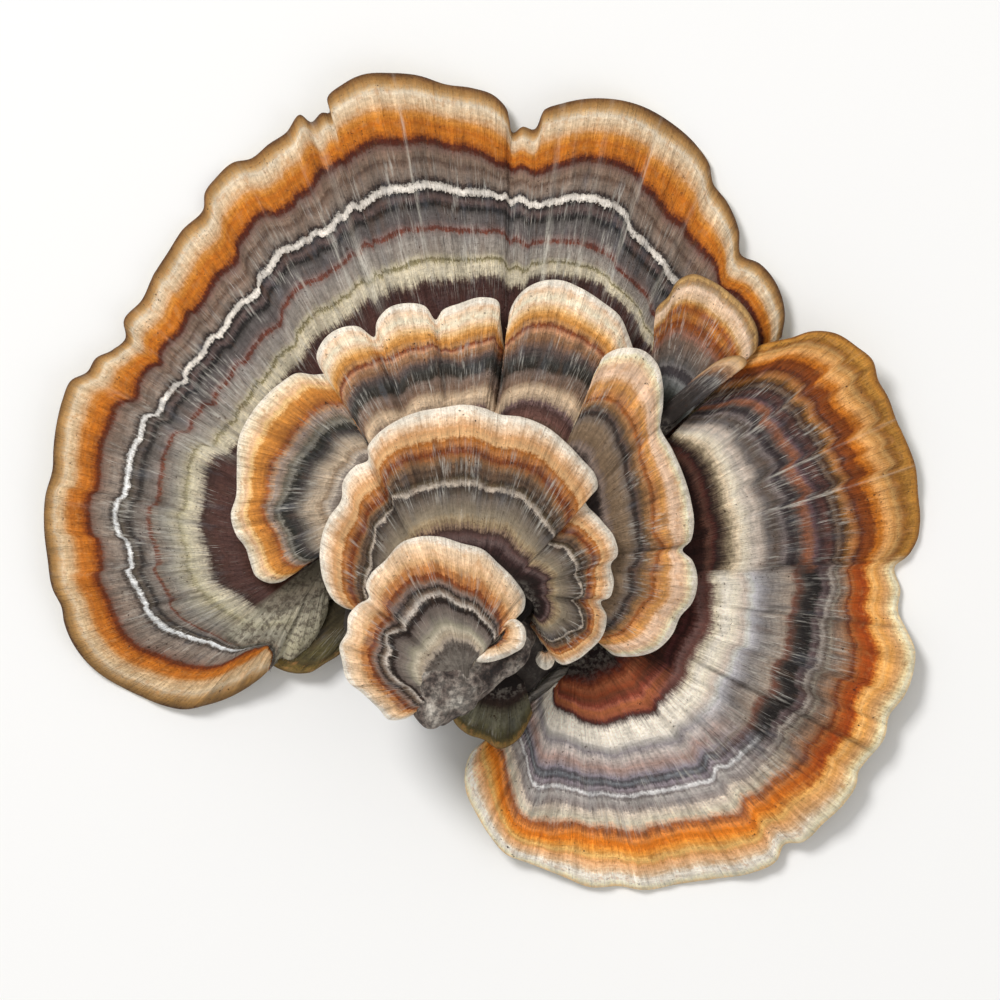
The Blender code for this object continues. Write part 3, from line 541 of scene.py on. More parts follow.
def shell(form, seed):
    """One bracket as points, faces and attributes, in mm."""
    grid = lay_out(form, seed)
    v = zones_of(form, grid)
    body, extra, crease_shade_and_fibres, speckle = relief(form, grid, v)
    columns, rows = grid["t"].shape
    first = np.linalg.norm(grid["plan"] - grid["plan"][:1], axis=2)
    last = np.linalg.norm(grid["plan"] - grid["plan"][-1:], axis=2)
    round_off = rounded(grid["gap"], EDGE_RADIUS) * rounded(first, EDGE_RADIUS) * rounded(last, EDGE_RADIUS)
    half = form["thickness"] / 2
    middle = np.maximum(grid["base"] - half + body, half * round_off + 0.03)
    over = middle + (half + extra) * round_off
    under = middle - half * round_off
    top_index = np.arange(columns * rows).reshape(columns, rows)
    kept = sorted({*range(SIDE_ROWS), *range(SIDE_ROWS, rows, form["low_rows"]), rows - 1})
    low_index = top_index[:, kept].copy()
    inner = np.s_[1:columns - 1, 1:]
    count = low_index[inner].size
    low_index[inner] = columns * rows + np.arange(count).reshape(low_index[inner].shape)
    plan_low = grid["plan"][:, kept][inner].reshape(-1, 2)
    points = np.r_[np.c_[grid["plan"].reshape(-1, 2), over.ravel()],
                   np.c_[plan_low, under[:, kept][inner].ravel()]]
    faces = [*np.stack([top_index[:-1, :-1], top_index[:-1, 1:], top_index[1:, 1:], top_index[1:, :-1]],
                       axis=-1).reshape(-1, 4).tolist()]
    top_count = len(faces)
    for k in range(len(kept) - 1):
        a, b = kept[k], kept[k + 1]
        row = np.stack([low_index[1:-2, k], low_index[2:-1, k], low_index[2:-1, k + 1],
                        low_index[1:-2, k + 1]], -1)
        faces += row.tolist()
        faces.append([low_index[1, k], low_index[1, k + 1], *top_index[0, a:b + 1][::-1]])
        faces.append([low_index[-2, k + 1], low_index[-2, k], *top_index[-1, a:b + 1]])
    wall = np.stack([top_index[:-1, -1], low_index[:-1, -1], low_index[1:, -1], top_index[1:, -1]],
                    -1).tolist()
    faces += [list(dict.fromkeys(face)) for face in wall]

    def both(values):
        return np.r_[values.reshape(columns * rows, -1), values[:, kept][inner].reshape(count, -1)]

    along = np.repeat(grid["u"][:, None] * grid["length"], rows, axis=1)
    growth = both(np.dstack([along, v, grid["t"]]))
    marks = both(np.dstack([crease_shade_and_fibres, speckle, round_off]))
    outward = both(np.dstack([np.repeat(grid["outward"][:, None, :], rows, axis=1), np.zeros_like(v)]))
    upper = np.r_[np.ones(columns * rows), np.zeros(count)]
    rows_down = np.array(numbers(DOWN_BY_ZONE))
    downy = np.interp(v, rows_down[:, 0], rows_down[:, 1]) * (round_off > 0.25)
    if "lip" in form:
        downy += 1.2 * np.clip((grid["u"][:, None] - numbers(form["lip"])[0][0]) / 0.03, 0, 1)
    downy *= grid["t"] > 0.02
    flat = both(np.dstack([along, v * grid["ray"].mean(), np.zeros_like(v)]))
    return dict(points=points, faces=faces, top_count=top_count, growth=growth, marks=marks,
                outward=outward, upper=upper, pattern=flat, downy=both(downy)[:, 0] * upper)


def mesh_from(name, parts):
    """One mesh object from one or more shells, turned from millimetres to metres."""
    points = np.concatenate([p["points"] for p in parts]) * MM
    faces, under, start = [], [], 0
    for part in parts:
        faces += [[int(i) + start for i in face] for face in part["faces"]]
        under += [False] * part["top_count"] + [True] * (len(part["faces"]) - part["top_count"])
        start += len(part["points"])
    mesh = bpy.data.meshes.new(name)
    mesh.from_pydata(points.tolist(), [], faces)
    for key, kind in (("growth", "FLOAT_VECTOR"), ("marks", "FLOAT_VECTOR"), ("outward", "FLOAT_VECTOR"),
                      ("pattern", "FLOAT_VECTOR"), ("upper", "FLOAT"), ("downy", "FLOAT")):
        values = np.concatenate([p[key] for p in parts]).astype(np.float32)
        attribute = mesh.attributes.new(key, kind, "POINT")
        attribute.data.foreach_set("vector" if kind == "FLOAT_VECTOR" else "value", values.ravel())
    mesh.attributes.new("under", "BOOLEAN", "FACE").data.foreach_set("value", under)
    mesh.polygons.foreach_set("use_smooth", [True] * len(faces))
    mesh.validate()
    mesh.update()
    piece = bpy.data.objects.new(name, mesh)
    bpy.context.scene.collection.objects.link(piece)
    print(name, "points:", len(mesh.vertices), "faces:", len(mesh.polygons))
    return piece


# %% [markdown]
# ## Small helpers for node trees
# Materials and Geometry Nodes are both trees of nodes. One function adds a node, sets its
# settings and fills its inputs, either with a value or with a link from another node. The
# colours are written as sRGB hex, as a colour picker shows them, and one function turns
# them to the linear numbers that a shader needs.

# %% Node helpers
def colour(text):
    """'aabbcc' in sRGB as linear red, green, blue and alpha."""
    parts = [int(text[i:i + 2], 16) / 255 for i in (0, 2, 4)]
    return (*[c / 12.92 if c <= 0.04045 else ((c + 0.055) / 1.055) ** 2.4 for c in parts], 1)


def add(tree, kind, inputs=None, stops=None, **settings):
    """A new node with its settings; inputs are values or links, keyed by name or number."""
    new = tree.nodes.new(kind)
    for key, value in settings.items():
        setattr(new, key, value)
    if stops:
        elements = new.color_ramp.elements
        while len(elements) > 1:
            elements.remove(elements[-1])
        elements[0].position, elements[0].color = stops[0]
        for place, shade in stops[1:]:
            elements.new(place).color = shade
    for key, value in (inputs or {}).items():
        if isinstance(value, bpy.types.Node):
            value = next(s for s in value.outputs if s.enabled)
        if isinstance(value, bpy.types.NodeSocket):
            tree.links.new(value, new.inputs[key])
        else:
            new.inputs[key].default_value = value
    return new


# %% [markdown]
# ## The zoned skin
# The upper skin is dry fungal felt: matt, leathery, in sharp narrow zones whose borders are
# feathered by fine radial fibres. It could be painted, but the zones follow a rule, so a
# colour ramp reads the zone number v. Stretched noise shifts v a little from fibre to
# fibre, which feathers every border, and more noise adds streaks along the rays, hair-thin
# growth lines across them, pale loose fibres and dark specks. Real fibres are about 0.05 mm
# wide; they are drawn at about 0.25 mm so that they show.

# %% Skin material
def ramp_colour(tree, v, zones):
    """The colour of zone v; a ramp holds 32 stops, so a longer list is split in two."""
    stops = [(float(place), colour(shade)) for place, shade in (z.split(":") for z in zones.split())]
    if len(stops) <= 32:
        return add(tree, "ShaderNodeValToRGB", {0: v}, stops=stops)
    cut = len(stops) // 2
    low = add(tree, "ShaderNodeValToRGB", {0: v}, stops=stops[:cut + 1])
    high = add(tree, "ShaderNodeValToRGB", {0: v}, stops=stops[cut:])
    past = add(tree, "ShaderNodeMath", {0: v, 1: stops[cut][0]}, operation="GREATER_THAN")
    return add(tree, "ShaderNodeMix", {0: past, 6: low, 7: high}, data_type="RGBA")


GREY_RAMP = [(0, 0, 0, 1), (1, 1, 1, 1), (1, 1, 1, 1), (0, 0, 0, 1)]
# noise drawn out along the rays: width and run in mm, detail, shift
FIBRES = {"fine": (0.24, 2.2, 3, 0.0), "bundles": (0.8, 5.0, 3, 7.3), "wedges": (3.2, 11.0, 2, 13.1),
          "slow": (9.0, 22.0, 1, 3.1), "stain": (2.4, 5.0, 3, 31.0), "cool": (2.8, 6.0, 3, 47.0),
          "frost": (0.45, 2.6, 4, 21.7), "patchy": (4.0, 9.0, 1, 61.0), "loose": (0.2, 4.5, 2, 83.0),
          "blotch": (1.6, 2.4, 3, 71.0), "thin": (0.22, 3.0, 1, 97.0), "blush": (1.1, 1.0, 2, 19.0),
          "lines": (4.0, 0.4, 2, 0.0)}
# noise with the same grain in every direction: size in mm, detail, shift
GRAINS = {"grit": (0.42, 2, 0.0), "specks": (0.5, 3, 0.4), "speck patches": (6.0, 2, 0.8),
          "crust": (0.7, 4, 0.2)}
# how many mm each noise pushes a zone border in or out
PUSHES = (("grit", 0.8), ("bundles", 0.35), ("wedges", 0.6), ("slow", 0.9))
# how dark and how bright each noise makes the skin
STREAKS = (("lines", 0.86, 1.10), ("fine", 0.85, 1.14), ("bundles", 0.80, 1.18), ("wedges", 0.80, 1.20),
           ("grit", 0.87, 1.13))
# what lies on the zones: noise, low, high, share; second noise, low, high, least; zones; colour
LAYERS = (
    ("crust", 0.44, 0.58, 0.75, "bundles", 0.3, 0.6, 0.6, (-0.1, -0.05, 0.13, 0.24), "8f867b"),
    ("blotch", 0.50, 0.62, 0.45, "grit", 0.3, 0.7, 0.4, (0.5, 0.56, 0.83, 0.85), "2c2522"),
    ("stain", 0.54, 0.66, 0.32, "bundles", 0.3, 0.7, 0.5, (0.4, 0.56, 0.80, 0.85), "6a4a34"),
    ("cool", 0.54, 0.68, 0.28, "bundles", 0.3, 0.7, 0.5, (0.4, 0.56, 0.80, 0.85), "7c8088"),
    ("frost", 0.50, 0.66, 0.55, "patchy", 0.44, 0.62, 0.05, (0.5, 0.56, 0.80, 0.845), "d8d2c6"),
    ("loose", 0.62, 0.70, 0.55, "wedges", 0.44, 0.6, 0.05, (0.3, 0.5, 0.79, 0.86), "e8e3d8"),
    ("thin", 0.62, 0.72, 0.45, "wedges", 0.3, 0.6, 0.3, (0.5, 0.6, 0.84, 0.90), "2a1d16"),
    ("blush", 0.52, 0.66, 0.5, "bundles", 0.3, 0.6, 0.2, (0.84, 0.89, 0.97, 0.99), "c98d52"),
    ("specks", 0.62, 0.70, 1.0, "speck patches", 0.42, 0.62, 0.0, (0.0, 0.1, 0.99, 1.0), "3a2418"),
)


def zoned_skin(name, sectors, length, ray, fringe=0.5, gain=1.0, seed=0.0):
    """Felted skin. sectors are (from u, blend width, zones); length and ray are in mm."""
    material = bpy.data.materials.new(name)
    material.use_nodes = True
    tree = material.node_tree
    shader = tree.nodes["Principled BSDF"]
    growth = add(tree, "ShaderNodeAttribute", attribute_name="growth")
    marks = add(tree, "ShaderNodeAttribute", attribute_name="marks")
    solid = add(tree, "ShaderNodeTexCoord").outputs["Object"]
    split = add(tree, "ShaderNodeSeparateXYZ", {0: growth.outputs["Vector"]})
    mark = add(tree, "ShaderNodeSeparateXYZ", {0: marks.outputs["Vector"]})
    along, v = split.outputs["X"], split.outputs["Y"]

    noise = {}
    for key, (width, run, detail, shift) in FIBRES.items():
        place = add(tree, "ShaderNodeVectorMath", {0: growth.outputs["Vector"], 1: (1 / width, ray / run, 0),
                    2: (shift + seed, shift, seed)}, operation="MULTIPLY_ADD")
        noise[key] = add(tree, "ShaderNodeTexNoise", {"Vector": place, "Scale": 1.0, "Detail": detail,
                         "Roughness": 0.62}).outputs["Fac"]
    for key, (size, detail, shift) in GRAINS.items():
        place = add(tree, "ShaderNodeVectorMath", {0: solid, 1: (shift, seed, 0)}, operation="ADD")
        noise[key] = add(tree, "ShaderNodeTexNoise", {"Vector": place, "Scale": 1000 / size, "Detail": detail,
                         "Roughness": 0.65}).outputs["Fac"]

    # feathered borders; at the fringe, the border of the pale felt, the fibres reach further
    places = [fringe - 0.05, fringe - 0.01, fringe + 0.02, fringe + 0.06]
    at_fringe = add(tree, "ShaderNodeValToRGB", {0: v}, stops=list(zip(places, GREY_RAMP)))
    reach = add(tree, "ShaderNodeMath", {0: at_fringe, 1: 1.5 / ray, 2: 0.5 / ray}, operation="MULTIPLY_ADD")
    centred = add(tree, "ShaderNodeMath", {0: noise["fine"], 1: 0.5}, operation="SUBTRACT")
    moved = add(tree, "ShaderNodeMath", {0: centred, 1: reach, 2: v}, operation="MULTIPLY_ADD")
    for key, reach_mm in PUSHES:
        centred = add(tree, "ShaderNodeMath", {0: noise[key], 1: 0.5}, operation="SUBTRACT")
        moved = add(tree, "ShaderNodeMath", {0: centred, 1: reach_mm / ray, 2: moved},
                    operation="MULTIPLY_ADD")

    shade = None
    for start, width, zones in sectors:
        new = ramp_colour(tree, moved, zones)
        if shade is None:
            shade = new
            continue
        centred = add(tree, "ShaderNodeMath", {0: noise["bundles"], 1: 0.5}, operation="SUBTRACT")
        border = add(tree, "ShaderNodeMath", {0: centred, 1: min(0.08, width) * length, 2: along},
                     operation="MULTIPLY_ADD")
        share = add(tree, "ShaderNodeMapRange", {0: border, 1: (start - width / 2) * length,
                    2: (start + width / 2) * length})
        shade = add(tree, "ShaderNodeMix", {0: share, 6: shade, 7: new}, data_type="RGBA")

    light = gain
    for key, dark, bright in STREAKS:
        streak = add(tree, "ShaderNodeMapRange", {0: noise[key], 1: 0.3, 2: 0.7, 3: dark, 4: bright})
        light = add(tree, "ShaderNodeMath", {0: streak, 1: light}, operation="MULTIPLY")
    grey = add(tree, "ShaderNodeCombineXYZ", {0: light, 1: light, 2: light})
    shade = add(tree, "ShaderNodeMix", {0: 1.0, 6: shade, 7: grey}, data_type="RGBA", blend_type="MULTIPLY")

    for key, low, high, share, other, other_low, other_high, least, zones, tone in LAYERS:
        mask = add(tree, "ShaderNodeMapRange", {0: noise[key], 1: low, 2: high, 3: 0.0, 4: share})
        thick = add(tree, "ShaderNodeMapRange", {0: noise[other], 1: other_low, 2: other_high, 3: least,
                                                 4: 1.0})
        where = add(tree, "ShaderNodeValToRGB", {0: v}, stops=list(zip(zones, GREY_RAMP)))
        mask = add(tree, "ShaderNodeMath", {0: mask, 1: thick}, operation="MULTIPLY")
        mask = add(tree, "ShaderNodeMath", {0: mask, 1: where}, operation="MULTIPLY")
        shade = add(tree, "ShaderNodeMix", {0: mask, 6: shade, 7: colour(tone)}, data_type="RGBA")

    # pale felt with grey crust where the form is marked as speckled, then painted shade in the creases and
    # pale fibres
    felt = add(tree, "ShaderNodeMath", {0: mark.outputs["Y"], 1: 0.5}, operation="MULTIPLY")
    shade = add(tree, "ShaderNodeMix", {0: felt, 6: shade, 7: colour("c2bba2")}, data_type="RGBA")
    crust = add(tree, "ShaderNodeMapRange", {0: noise["crust"], 1: 0.48, 2: 0.6, 3: 0.0, 4: 0.7})
    crust = add(tree, "ShaderNodeMath", {0: crust, 1: mark.outputs["Y"]}, operation="MULTIPLY")
    shade = add(tree, "ShaderNodeMix", {0: crust, 6: shade, 7: colour("54463a")}, data_type="RGBA")
    # painted shade in the creases, broken up by grit, then pale fibres where the crease mark is negative
    broken = add(tree, "ShaderNodeMapRange", {0: noise["grit"], 1: 0.3, 2: 0.7, 3: 0.55, 4: 1.0})
    dark = add(tree, "ShaderNodeMath", {0: mark.outputs["X"], 1: broken}, operation="MULTIPLY",
               use_clamp=True)
    shade = add(tree, "ShaderNodeMix", {0: dark, 6: shade, 7: colour("1d120c")}, data_type="RGBA")
    hairy = add(tree, "ShaderNodeMapRange", {0: noise["fine"], 1: 0.35, 2: 0.6, 3: -0.1, 4: -1.3})
    pale = add(tree, "ShaderNodeMath", {0: mark.outputs["X"], 1: hairy}, operation="MULTIPLY", use_clamp=True)
    shade = add(tree, "ShaderNodeMix", {0: pale, 6: shade, 7: colour("e4decf")}, data_type="RGBA")
    tree.links.new(shade.outputs[2], shader.inputs["Base Color"])

    rough = add(tree, "ShaderNodeMapRange", {0: noise["fine"], 1: 0.3, 2: 0.7, 3: 0.72, 4: 0.92})
    tree.links.new(rough.outputs[0], shader.inputs["Roughness"])
    shader.inputs["Specular IOR Level"].default_value = 0.3
    height = 0.0
    for key, share in (("fine", 0.7), ("lines", 0.5), ("bundles", 1.2), ("grit", 0.6)):
        height = add(tree, "ShaderNodeMath", {0: noise[key], 1: share, 2: height}, operation="MULTIPLY_ADD")
    bump = add(tree, "ShaderNodeBump", {"Strength": 0.8, "Distance": 0.00045, "Height": height})
    tree.links.new(bump.outputs[0], shader.inputs["Normal"])
    return material


print("noises of the skin:", ", ".join([*FIBRES, *GRAINS]))

# %% [markdown]
# ## Zone colours
# Each bracket has its own run of zones from its base (0) to its edge (1), written as the
# zone number and a colour. The side cap grew in three sectors with different weather on
# each and has a felted border, so it has four runs that blend along the edge.

# %% Zones of the large caps
GREAT_ZONES = """0:3a2018 .34:512b18 .44:5d403a .5:553630 .543:462a25 .553:644e43 .558:baab93 .566:ded1b4
    .585:e6d8bb
    .591:d8c9a5 .594:8b7f59 .598:857a55 .602:c9bca0 .612:a29689 .64:9a9087 .652:8b7a72 .656:744030
    .663:6b3224 .668:866f68 .68:665c59 .70:665f5c .709:4f4946 .713:24201e .719:211d1c .725:473d3c
    .733:6a5752 .741:52423f .746:221a18 .750:241b19 .7505:c5baac .756:f8eee2 .763:fbf1e4 .768:a99d90
    .769:281e1c .773:382b26 .780:77665a .79:8a786a .80:8e7868 .812:695041 .822:8b7361 .832:8a6e5d
    .84:7c5e52 .846:542617 .855:561f0e .859:7f3d12 .866:b36219 .88:cc771f .892:c06a18 .905:d2852e
    .914:d59048 .921:d9a878 .935:e2c199 .95:e8ceac .958:ebd8bc .966:d7b68b .975:bd925c .985:a17642
    .994:7c542b 1:57371d"""
GREAT_LEFT = """0:3a2018 .34:512b18 .44:5d403a .5:5a3d36 .545:4b352e .555:b5a895 .565:dccfb4 .585:dfd4b4
    .591:cfc39e
    .596:968c6b .6:c1b496 .615:b8af9b .63:9a9286 .65:8b7c6e .657:784732 .663:804d3c .67:94867b .7:7a7067
    .712:433c37 .72:37312d .73:61574f .742:61574a .748:2d2624 .752:c2b9af .756:fcfcf9 .764:fcfcfb
    .768:867d73 .773:453b35 .785:908175 .80:9a8a7c .82:937f70 .838:846859 .847:6b3115 .856:6f300c
    .864:994b0f .885:c5701d .908:c67326 .919:cf8c49 .932:d8af81 .950:e1c094 .960:e5caa5 .972:c39b6a
    .985:a57b45 .995:856236 1:56381d"""
SIDE_UPPER = """0:210f0a .384:2f130c .4:5e3c2f .412:4a2119 .421:230d08 .44:5d4b3b .458:9d8b6f .475:ead3b2
    .495:f4e6cd .52:d4c6b6 .544:d2c0b0 .557:a5988d .57:79706b .593:66584e .618:80736f .63:453b3c
    .643:34292a .655:554a45 .668:755142 .68:8e5539 .692:9a644a .704:6c4f51 .717:402f30 .741:5c3931
    .754:37211c .766:77604e .778:4f301c .791:8b5d2a .803:b87b43 .815:a26331 .828:642c0e .84:874215
    .864:833d07 .877:c36d19 .889:ce7d29 .901:e8a35d .914:f2b36b .926:d0934f .938:ca9a5c .951:9a652e
    .963:9d6824 .975:ba8337 .988:c58635 1:82531f"""
SIDE_MIDDLE = """0:1a0c08 .25:2c1208 .322:3a170b .335:522421 .347:2f0c06 .36:5a3028 .375:7b5a53 .396:6f4238
    .409:9a8374 .421:e0d1b5 .446:fcf1df .47:fcf0d9 .5:dbc9b9 .52:d8d5cc .532:c7c2c4 .55:a29c9c
    .57:8b837e .6:9a8e83 .63:a59281 .643:754a3a .667:3b332e .68:231d1c .704:1d1916 .717:635352
    .729:483535 .741:a3978c .754:64554b .766:928575 .778:7f6858 .803:9d795e .815:9b6a48 .828:7a3913
    .84:a75f2b .852:a24c16 .864:9e450f .877:9c3f0c .889:bc5f17 .901:eda44f .914:fbbe72 .926:eca755
    .951:e2a96d .963:e7bc83 .975:fce3ad .988:fcf1ce 1:efcf9c"""
SIDE_LOWER = """0:210f0e .17:210f0e .19:301812 .21:54190b .236:8e4325 .261:b76942 .286:a34f2c .298:83482d
    .322:984732 .335:bd6c52 .347:c17043 .372:ac6040 .384:6a2f27 .396:4a342e .409:cdc0b3 .421:fcf1df
    .433:fcf1df .47:fcf1df .483:f5ebdc .495:c6beb4 .52:a69c9d .544:e0d1c7 .569:cfb6ac .581:c3a295
    .606:b09d9c .618:a298a0 .63:575256 .643:86888c .655:575055 .667:a6999f .68:8a7e7f .692:fcf8f5
    .704:8c817d .717:c2b9b2 .741:9e928c .754:afa096 .766:f0ddc8 .791:e4d8be .803:e9c09e .815:ab6133
    .828:cb7737 .84:f29444 .852:e27c1a .864:eb8221 .877:fca03c .889:e69f4c .901:f7c474 .914:eaa763
    .926:fcbf87 .938:f7c594 .951:f3d3ae .963:fcf1df .975:fcf1df .988:fcf1d0 1:ecc995"""

SIDE_BORDER = """0:2a211e .12:4a413c .2:8d857c .27:c2bab0 .36:ded6c6 .45:d8cebf .55:aba49b .64:c9c2b6
.7:8e867e .78:bdb6aa .84:cfc8bc .9:d6ccaf 1:c8bfae"""

# %% Zones of the smaller caps
SMALL_ZONES = {
    "inner_cap": """0:1c120d .27:281915 .303:3b2624 .344:695551 .364:654a45 .385:422c25 .405:907661
    .426:9b8463
    .446:ad9777 .467:998a73 .508:857765 .549:75685c .569:594d40 .59:42362f .605:d2c1ae .62:988979
    .631:60503a .651:382819 .672:654f3d .692:543e2e .713:795d45 .733:8c6644 .754:9b6236 .774:783409
    .795:96572b .815:bd7b44 .836:b36a25 .856:e5b57f .897:dba470 .938:f4d2ae .979:fcf1de 1:fcf1df""",
    "top_cap": """0:7d7369 .1:776d63 .16:5d524a .19:6a5f56 .221:c0af9c .262:beac93 .303:d2c5ad .344:a39a85
    .385:887d72
    .426:7c6f64 .467:6b5e57 .487:342720 .508:1e120d .528:362b22 .545:a89a8e .555:d7cabc .59:887565
    .61:5d4c3e .631:201108 .651:735f55 .672:92786a .692:8c6349 .713:874825 .733:843f10 .754:c37e46
    .795:c58348 .815:e5ab73 .836:e3b481 .877:f3c99e .938:f6d7b2 .959:f7dfc4 .979:fcf1df 1:f9eedc""",
    "middle_left_cap": """0:483a32 .35:928274 .405:b5a69a .426:e6d6c3 .467:af957a .508:d9c2a6 .549:c0ac95
    .59:94887a
    .61:766d62 .63:524a46 .672:34332f .692:36332b .713:8f897d .733:726959 .754:998472 .774:a99384
    .795:be916c .815:aa5e2a .836:bd7632 .877:d78c3d .897:da9243 .918:fccf8d .938:f1c396 .959:f6dab2
    .979:fceacb 1:fcf1df""",
    "middle_cap": """0:2a1a14 .3:4c302a .364:745849 .385:855d52 .426:593e38 .446:836764 .467:c2a88d
    .508:eacca9
    .549:866954 .59:826d60 .61:2f281f .651:413f3b .692:62514b .713:8a6a57 .733:986d4c .754:a97e5a
    .774:d69b72 .795:87390f .815:d69a5e .836:d69143 .856:ebab60 .877:fccf95 .897:fcd8b2 .918:fceecf
    .959:fbdab8 .979:fcf1df 1:fcf1df""",
    "middle_right_cap": """0:1e1410 .344:2a1f1d .385:89766b .43:7c654d .51:8d755c .549:7e6e61 .569:3d2e27
    .59:3a2f29 .61:655046
    .651:775b3f .672:976d43 .713:b48152 .74:ab632e .754:945520 .774:d48e52 .815:e3a055 .836:e6a76a
    .856:f0c59e .877:f9d1b0 .918:ecc4a1 .938:f9d8ae .959:fcefc8 .979:fcf1df 1:fcf1df""",
    "upper_flap": """0:1c1613 .2:241914 .3:545650 .36:898a87 .38:92908d .405:494345 .446:443d3e .467:7c7673
    .487:625c57
    .61:796050 .65:996a56 .692:914d1b .713:8a4313 .733:a96223 .754:c67e36 .795:a05110 .815:c27a31
    .836:cc9857 .856:e4be95 .918:f4d2b3 .938:ba9b78 .959:a67f51 .979:cda367 1:967143""",
    "narrow_flap": """0:1c1613 .3:2c2420 .5:3c3531 .6:4a4240 .7:57504e .76:7d5a42 .82:a97f5c .9:d4b08a
    .96:c8a070 1:8d6a40""",
    "olive_left_cap": """0:2c2417 .3:3e3522 .5:524831 .65:5f5637 .8:645a38 .88:55482a .93:75602f .97:8f7440
    1:6b5229""",
    "olive_front_cap": """0:1f1612 .15:2b1a16 .3:3a2a20 .45:6f6a55 .6:7b7760 .75:6a6444 .86:5a5030 .92:7a6230
    .97:8f7440 1:6b5229""",
}
print("zone stops:", {key: len(zones.split()) for key, zones in SMALL_ZONES.items()})

# %% Pores and foot materials
def pore_layer():
    """The underside: cream flesh full of round pores with painted shade in each pore, so it looks finely
    sieved.
    """
    material = bpy.data.materials.new("pore_layer")
    material.use_nodes = True
    tree, shader = material.node_tree, material.node_tree.nodes["Principled BSDF"]
    place = add(tree, "ShaderNodeTexCoord").outputs["Object"]
    # real pores are 3 to 5 per mm; they are drawn 2 per mm, coarser than real, so that they show
    cells = add(tree, "ShaderNodeTexVoronoi", {"Vector": place, "Scale": 2000.0, "Randomness": 0.8})
    cloud = add(tree, "ShaderNodeTexNoise", {"Vector": place, "Scale": 150.0, "Detail": 3.0})
    base = add(tree, "ShaderNodeValToRGB", {0: cloud.outputs["Fac"]},
               stops=[(0.3, colour("c9b48c")), (0.55, colour("e2d3b0")), (0.75, colour("efe5cb"))])
    # painted shade inside each pore, darkest at its middle
    pore_shade = add(tree, "ShaderNodeMapRange", {0: cells.outputs["Distance"], 1: 0.12, 2: 0.4, 3: 0.75, 4: 0.0})
    shade = add(tree, "ShaderNodeMix", {0: pore_shade, 6: base, 7: colour("7a6238")}, data_type="RGBA")
    tree.links.new(shade.outputs[2], shader.inputs["Base Color"])
    bump = add(tree, "ShaderNodeBump", {"Strength": 0.8, "Distance": 0.0003,
                                        "Height": cells.outputs["Distance"]})
    tree.links.new(bump.outputs[0], shader.inputs["Normal"])
    rough = add(tree, "ShaderNodeMapRange", {0: cloud.outputs["Fac"], 1: 0.3, 2: 0.7, 3: 0.75, 4: 0.92})
    tree.links.new(rough.outputs[0], shader.inputs["Roughness"])
    return material


def foot_skin():
    """The foot: grey felted crust with dark pits, and pale torn fibres on the cut face."""
    material = bpy.data.materials.new("felted_foot_crust")
    material.use_nodes = True
    tree, shader = material.node_tree, material.node_tree.nodes["Principled BSDF"]
    place = add(tree, "ShaderNodeTexCoord").outputs["Object"]
    patches = add(tree, "ShaderNodeTexNoise", {"Vector": place, "Scale": 330.0, "Detail": 5.0,
                                               "Roughness": 0.6})
    grains = add(tree, "ShaderNodeTexNoise", {"Vector": place, "Scale": 1500.0, "Detail": 4.0,
                                              "Roughness": 0.7})
    base = add(tree, "ShaderNodeValToRGB", {0: patches.outputs["Fac"]},
               stops=[(0.36, colour("2c221e")), (0.44, colour("5d5049")), (0.52, colour("877c72")),
                      (0.62, colour("a89f94")), (0.72, colour("cdc5b8"))])
    dots = add(tree, "ShaderNodeMapRange", {0: grains.outputs["Fac"], 1: 0.42, 2: 0.6, 3: 0.42, 4: 1.25})
    shade = add(tree, "ShaderNodeMix", {0: 1.0, 6: base, 7: add(tree, "ShaderNodeCombineXYZ",
                {0: dots, 1: dots, 2: dots})}, data_type="RGBA", blend_type="MULTIPLY")
    height = add(tree, "ShaderNodeSeparateXYZ", {0: place})
    # low between the brackets the foot turns brown-black: partly older tissue, partly painted shade where the
    # brackets shadow it
    old = add(tree, "ShaderNodeMapRange", {0: height.outputs["Z"], 1: 0.0145, 2: 0.0188, 3: 0.88, 4: 0.0})
    shade = add(tree, "ShaderNodeMix", {0: old, 6: shade.outputs[2], 7: colour("241a15")}, data_type="RGBA")
    cut = add(tree, "ShaderNodeMapRange", {0: height.outputs["Z"], 1: 0.0002, 2: 0.0009, 3: 1.0, 4: 0.0})
    torn = add(tree, "ShaderNodeValToRGB", {0: grains.outputs["Fac"]},
               stops=[(0.35, colour("b39a6c")), (0.5, colour("d8c6a0")), (0.65, colour("ece0c4"))])
    shade = add(tree, "ShaderNodeMix", {0: cut, 6: shade.outputs[2], 7: torn}, data_type="RGBA")
    tree.links.new(shade.outputs[2], shader.inputs["Base Color"])
    both = add(tree, "ShaderNodeMath", {0: patches.outputs["Fac"], 1: grains.outputs["Fac"]}, operation="ADD")
    bump = add(tree, "ShaderNodeBump", {"Strength": 0.8, "Distance": 0.0004, "Height": both})
    tree.links.new(bump.outputs[0], shader.inputs["Normal"])
    rough = add(tree, "ShaderNodeMapRange", {0: grains.outputs["Fac"], 1: 0.3, 2: 0.7, 3: 0.8, 4: 0.97})
    tree.links.new(rough.outputs[0], shader.inputs["Roughness"])
    return material


PORES = pore_layer()
FOOT_SKIN = foot_skin()
print("materials:", PORES.name, FOOT_SKIN.name)

# %% [markdown]
# ## Radial pleats with Geometry Nodes
# Dried brackets are finely pleated along their rays. Modelling thousands of pleats by hand
# would be slow, and they follow a rule: they run along the growth direction, are a
# millimetre or two apart and get deeper towards the edge. So a Geometry Nodes tree moves
# the upper side along its normal by noise read in growth coordinates. Its sizes are named
# inputs, and the last nodes realise everything and set the skin and pore materials.

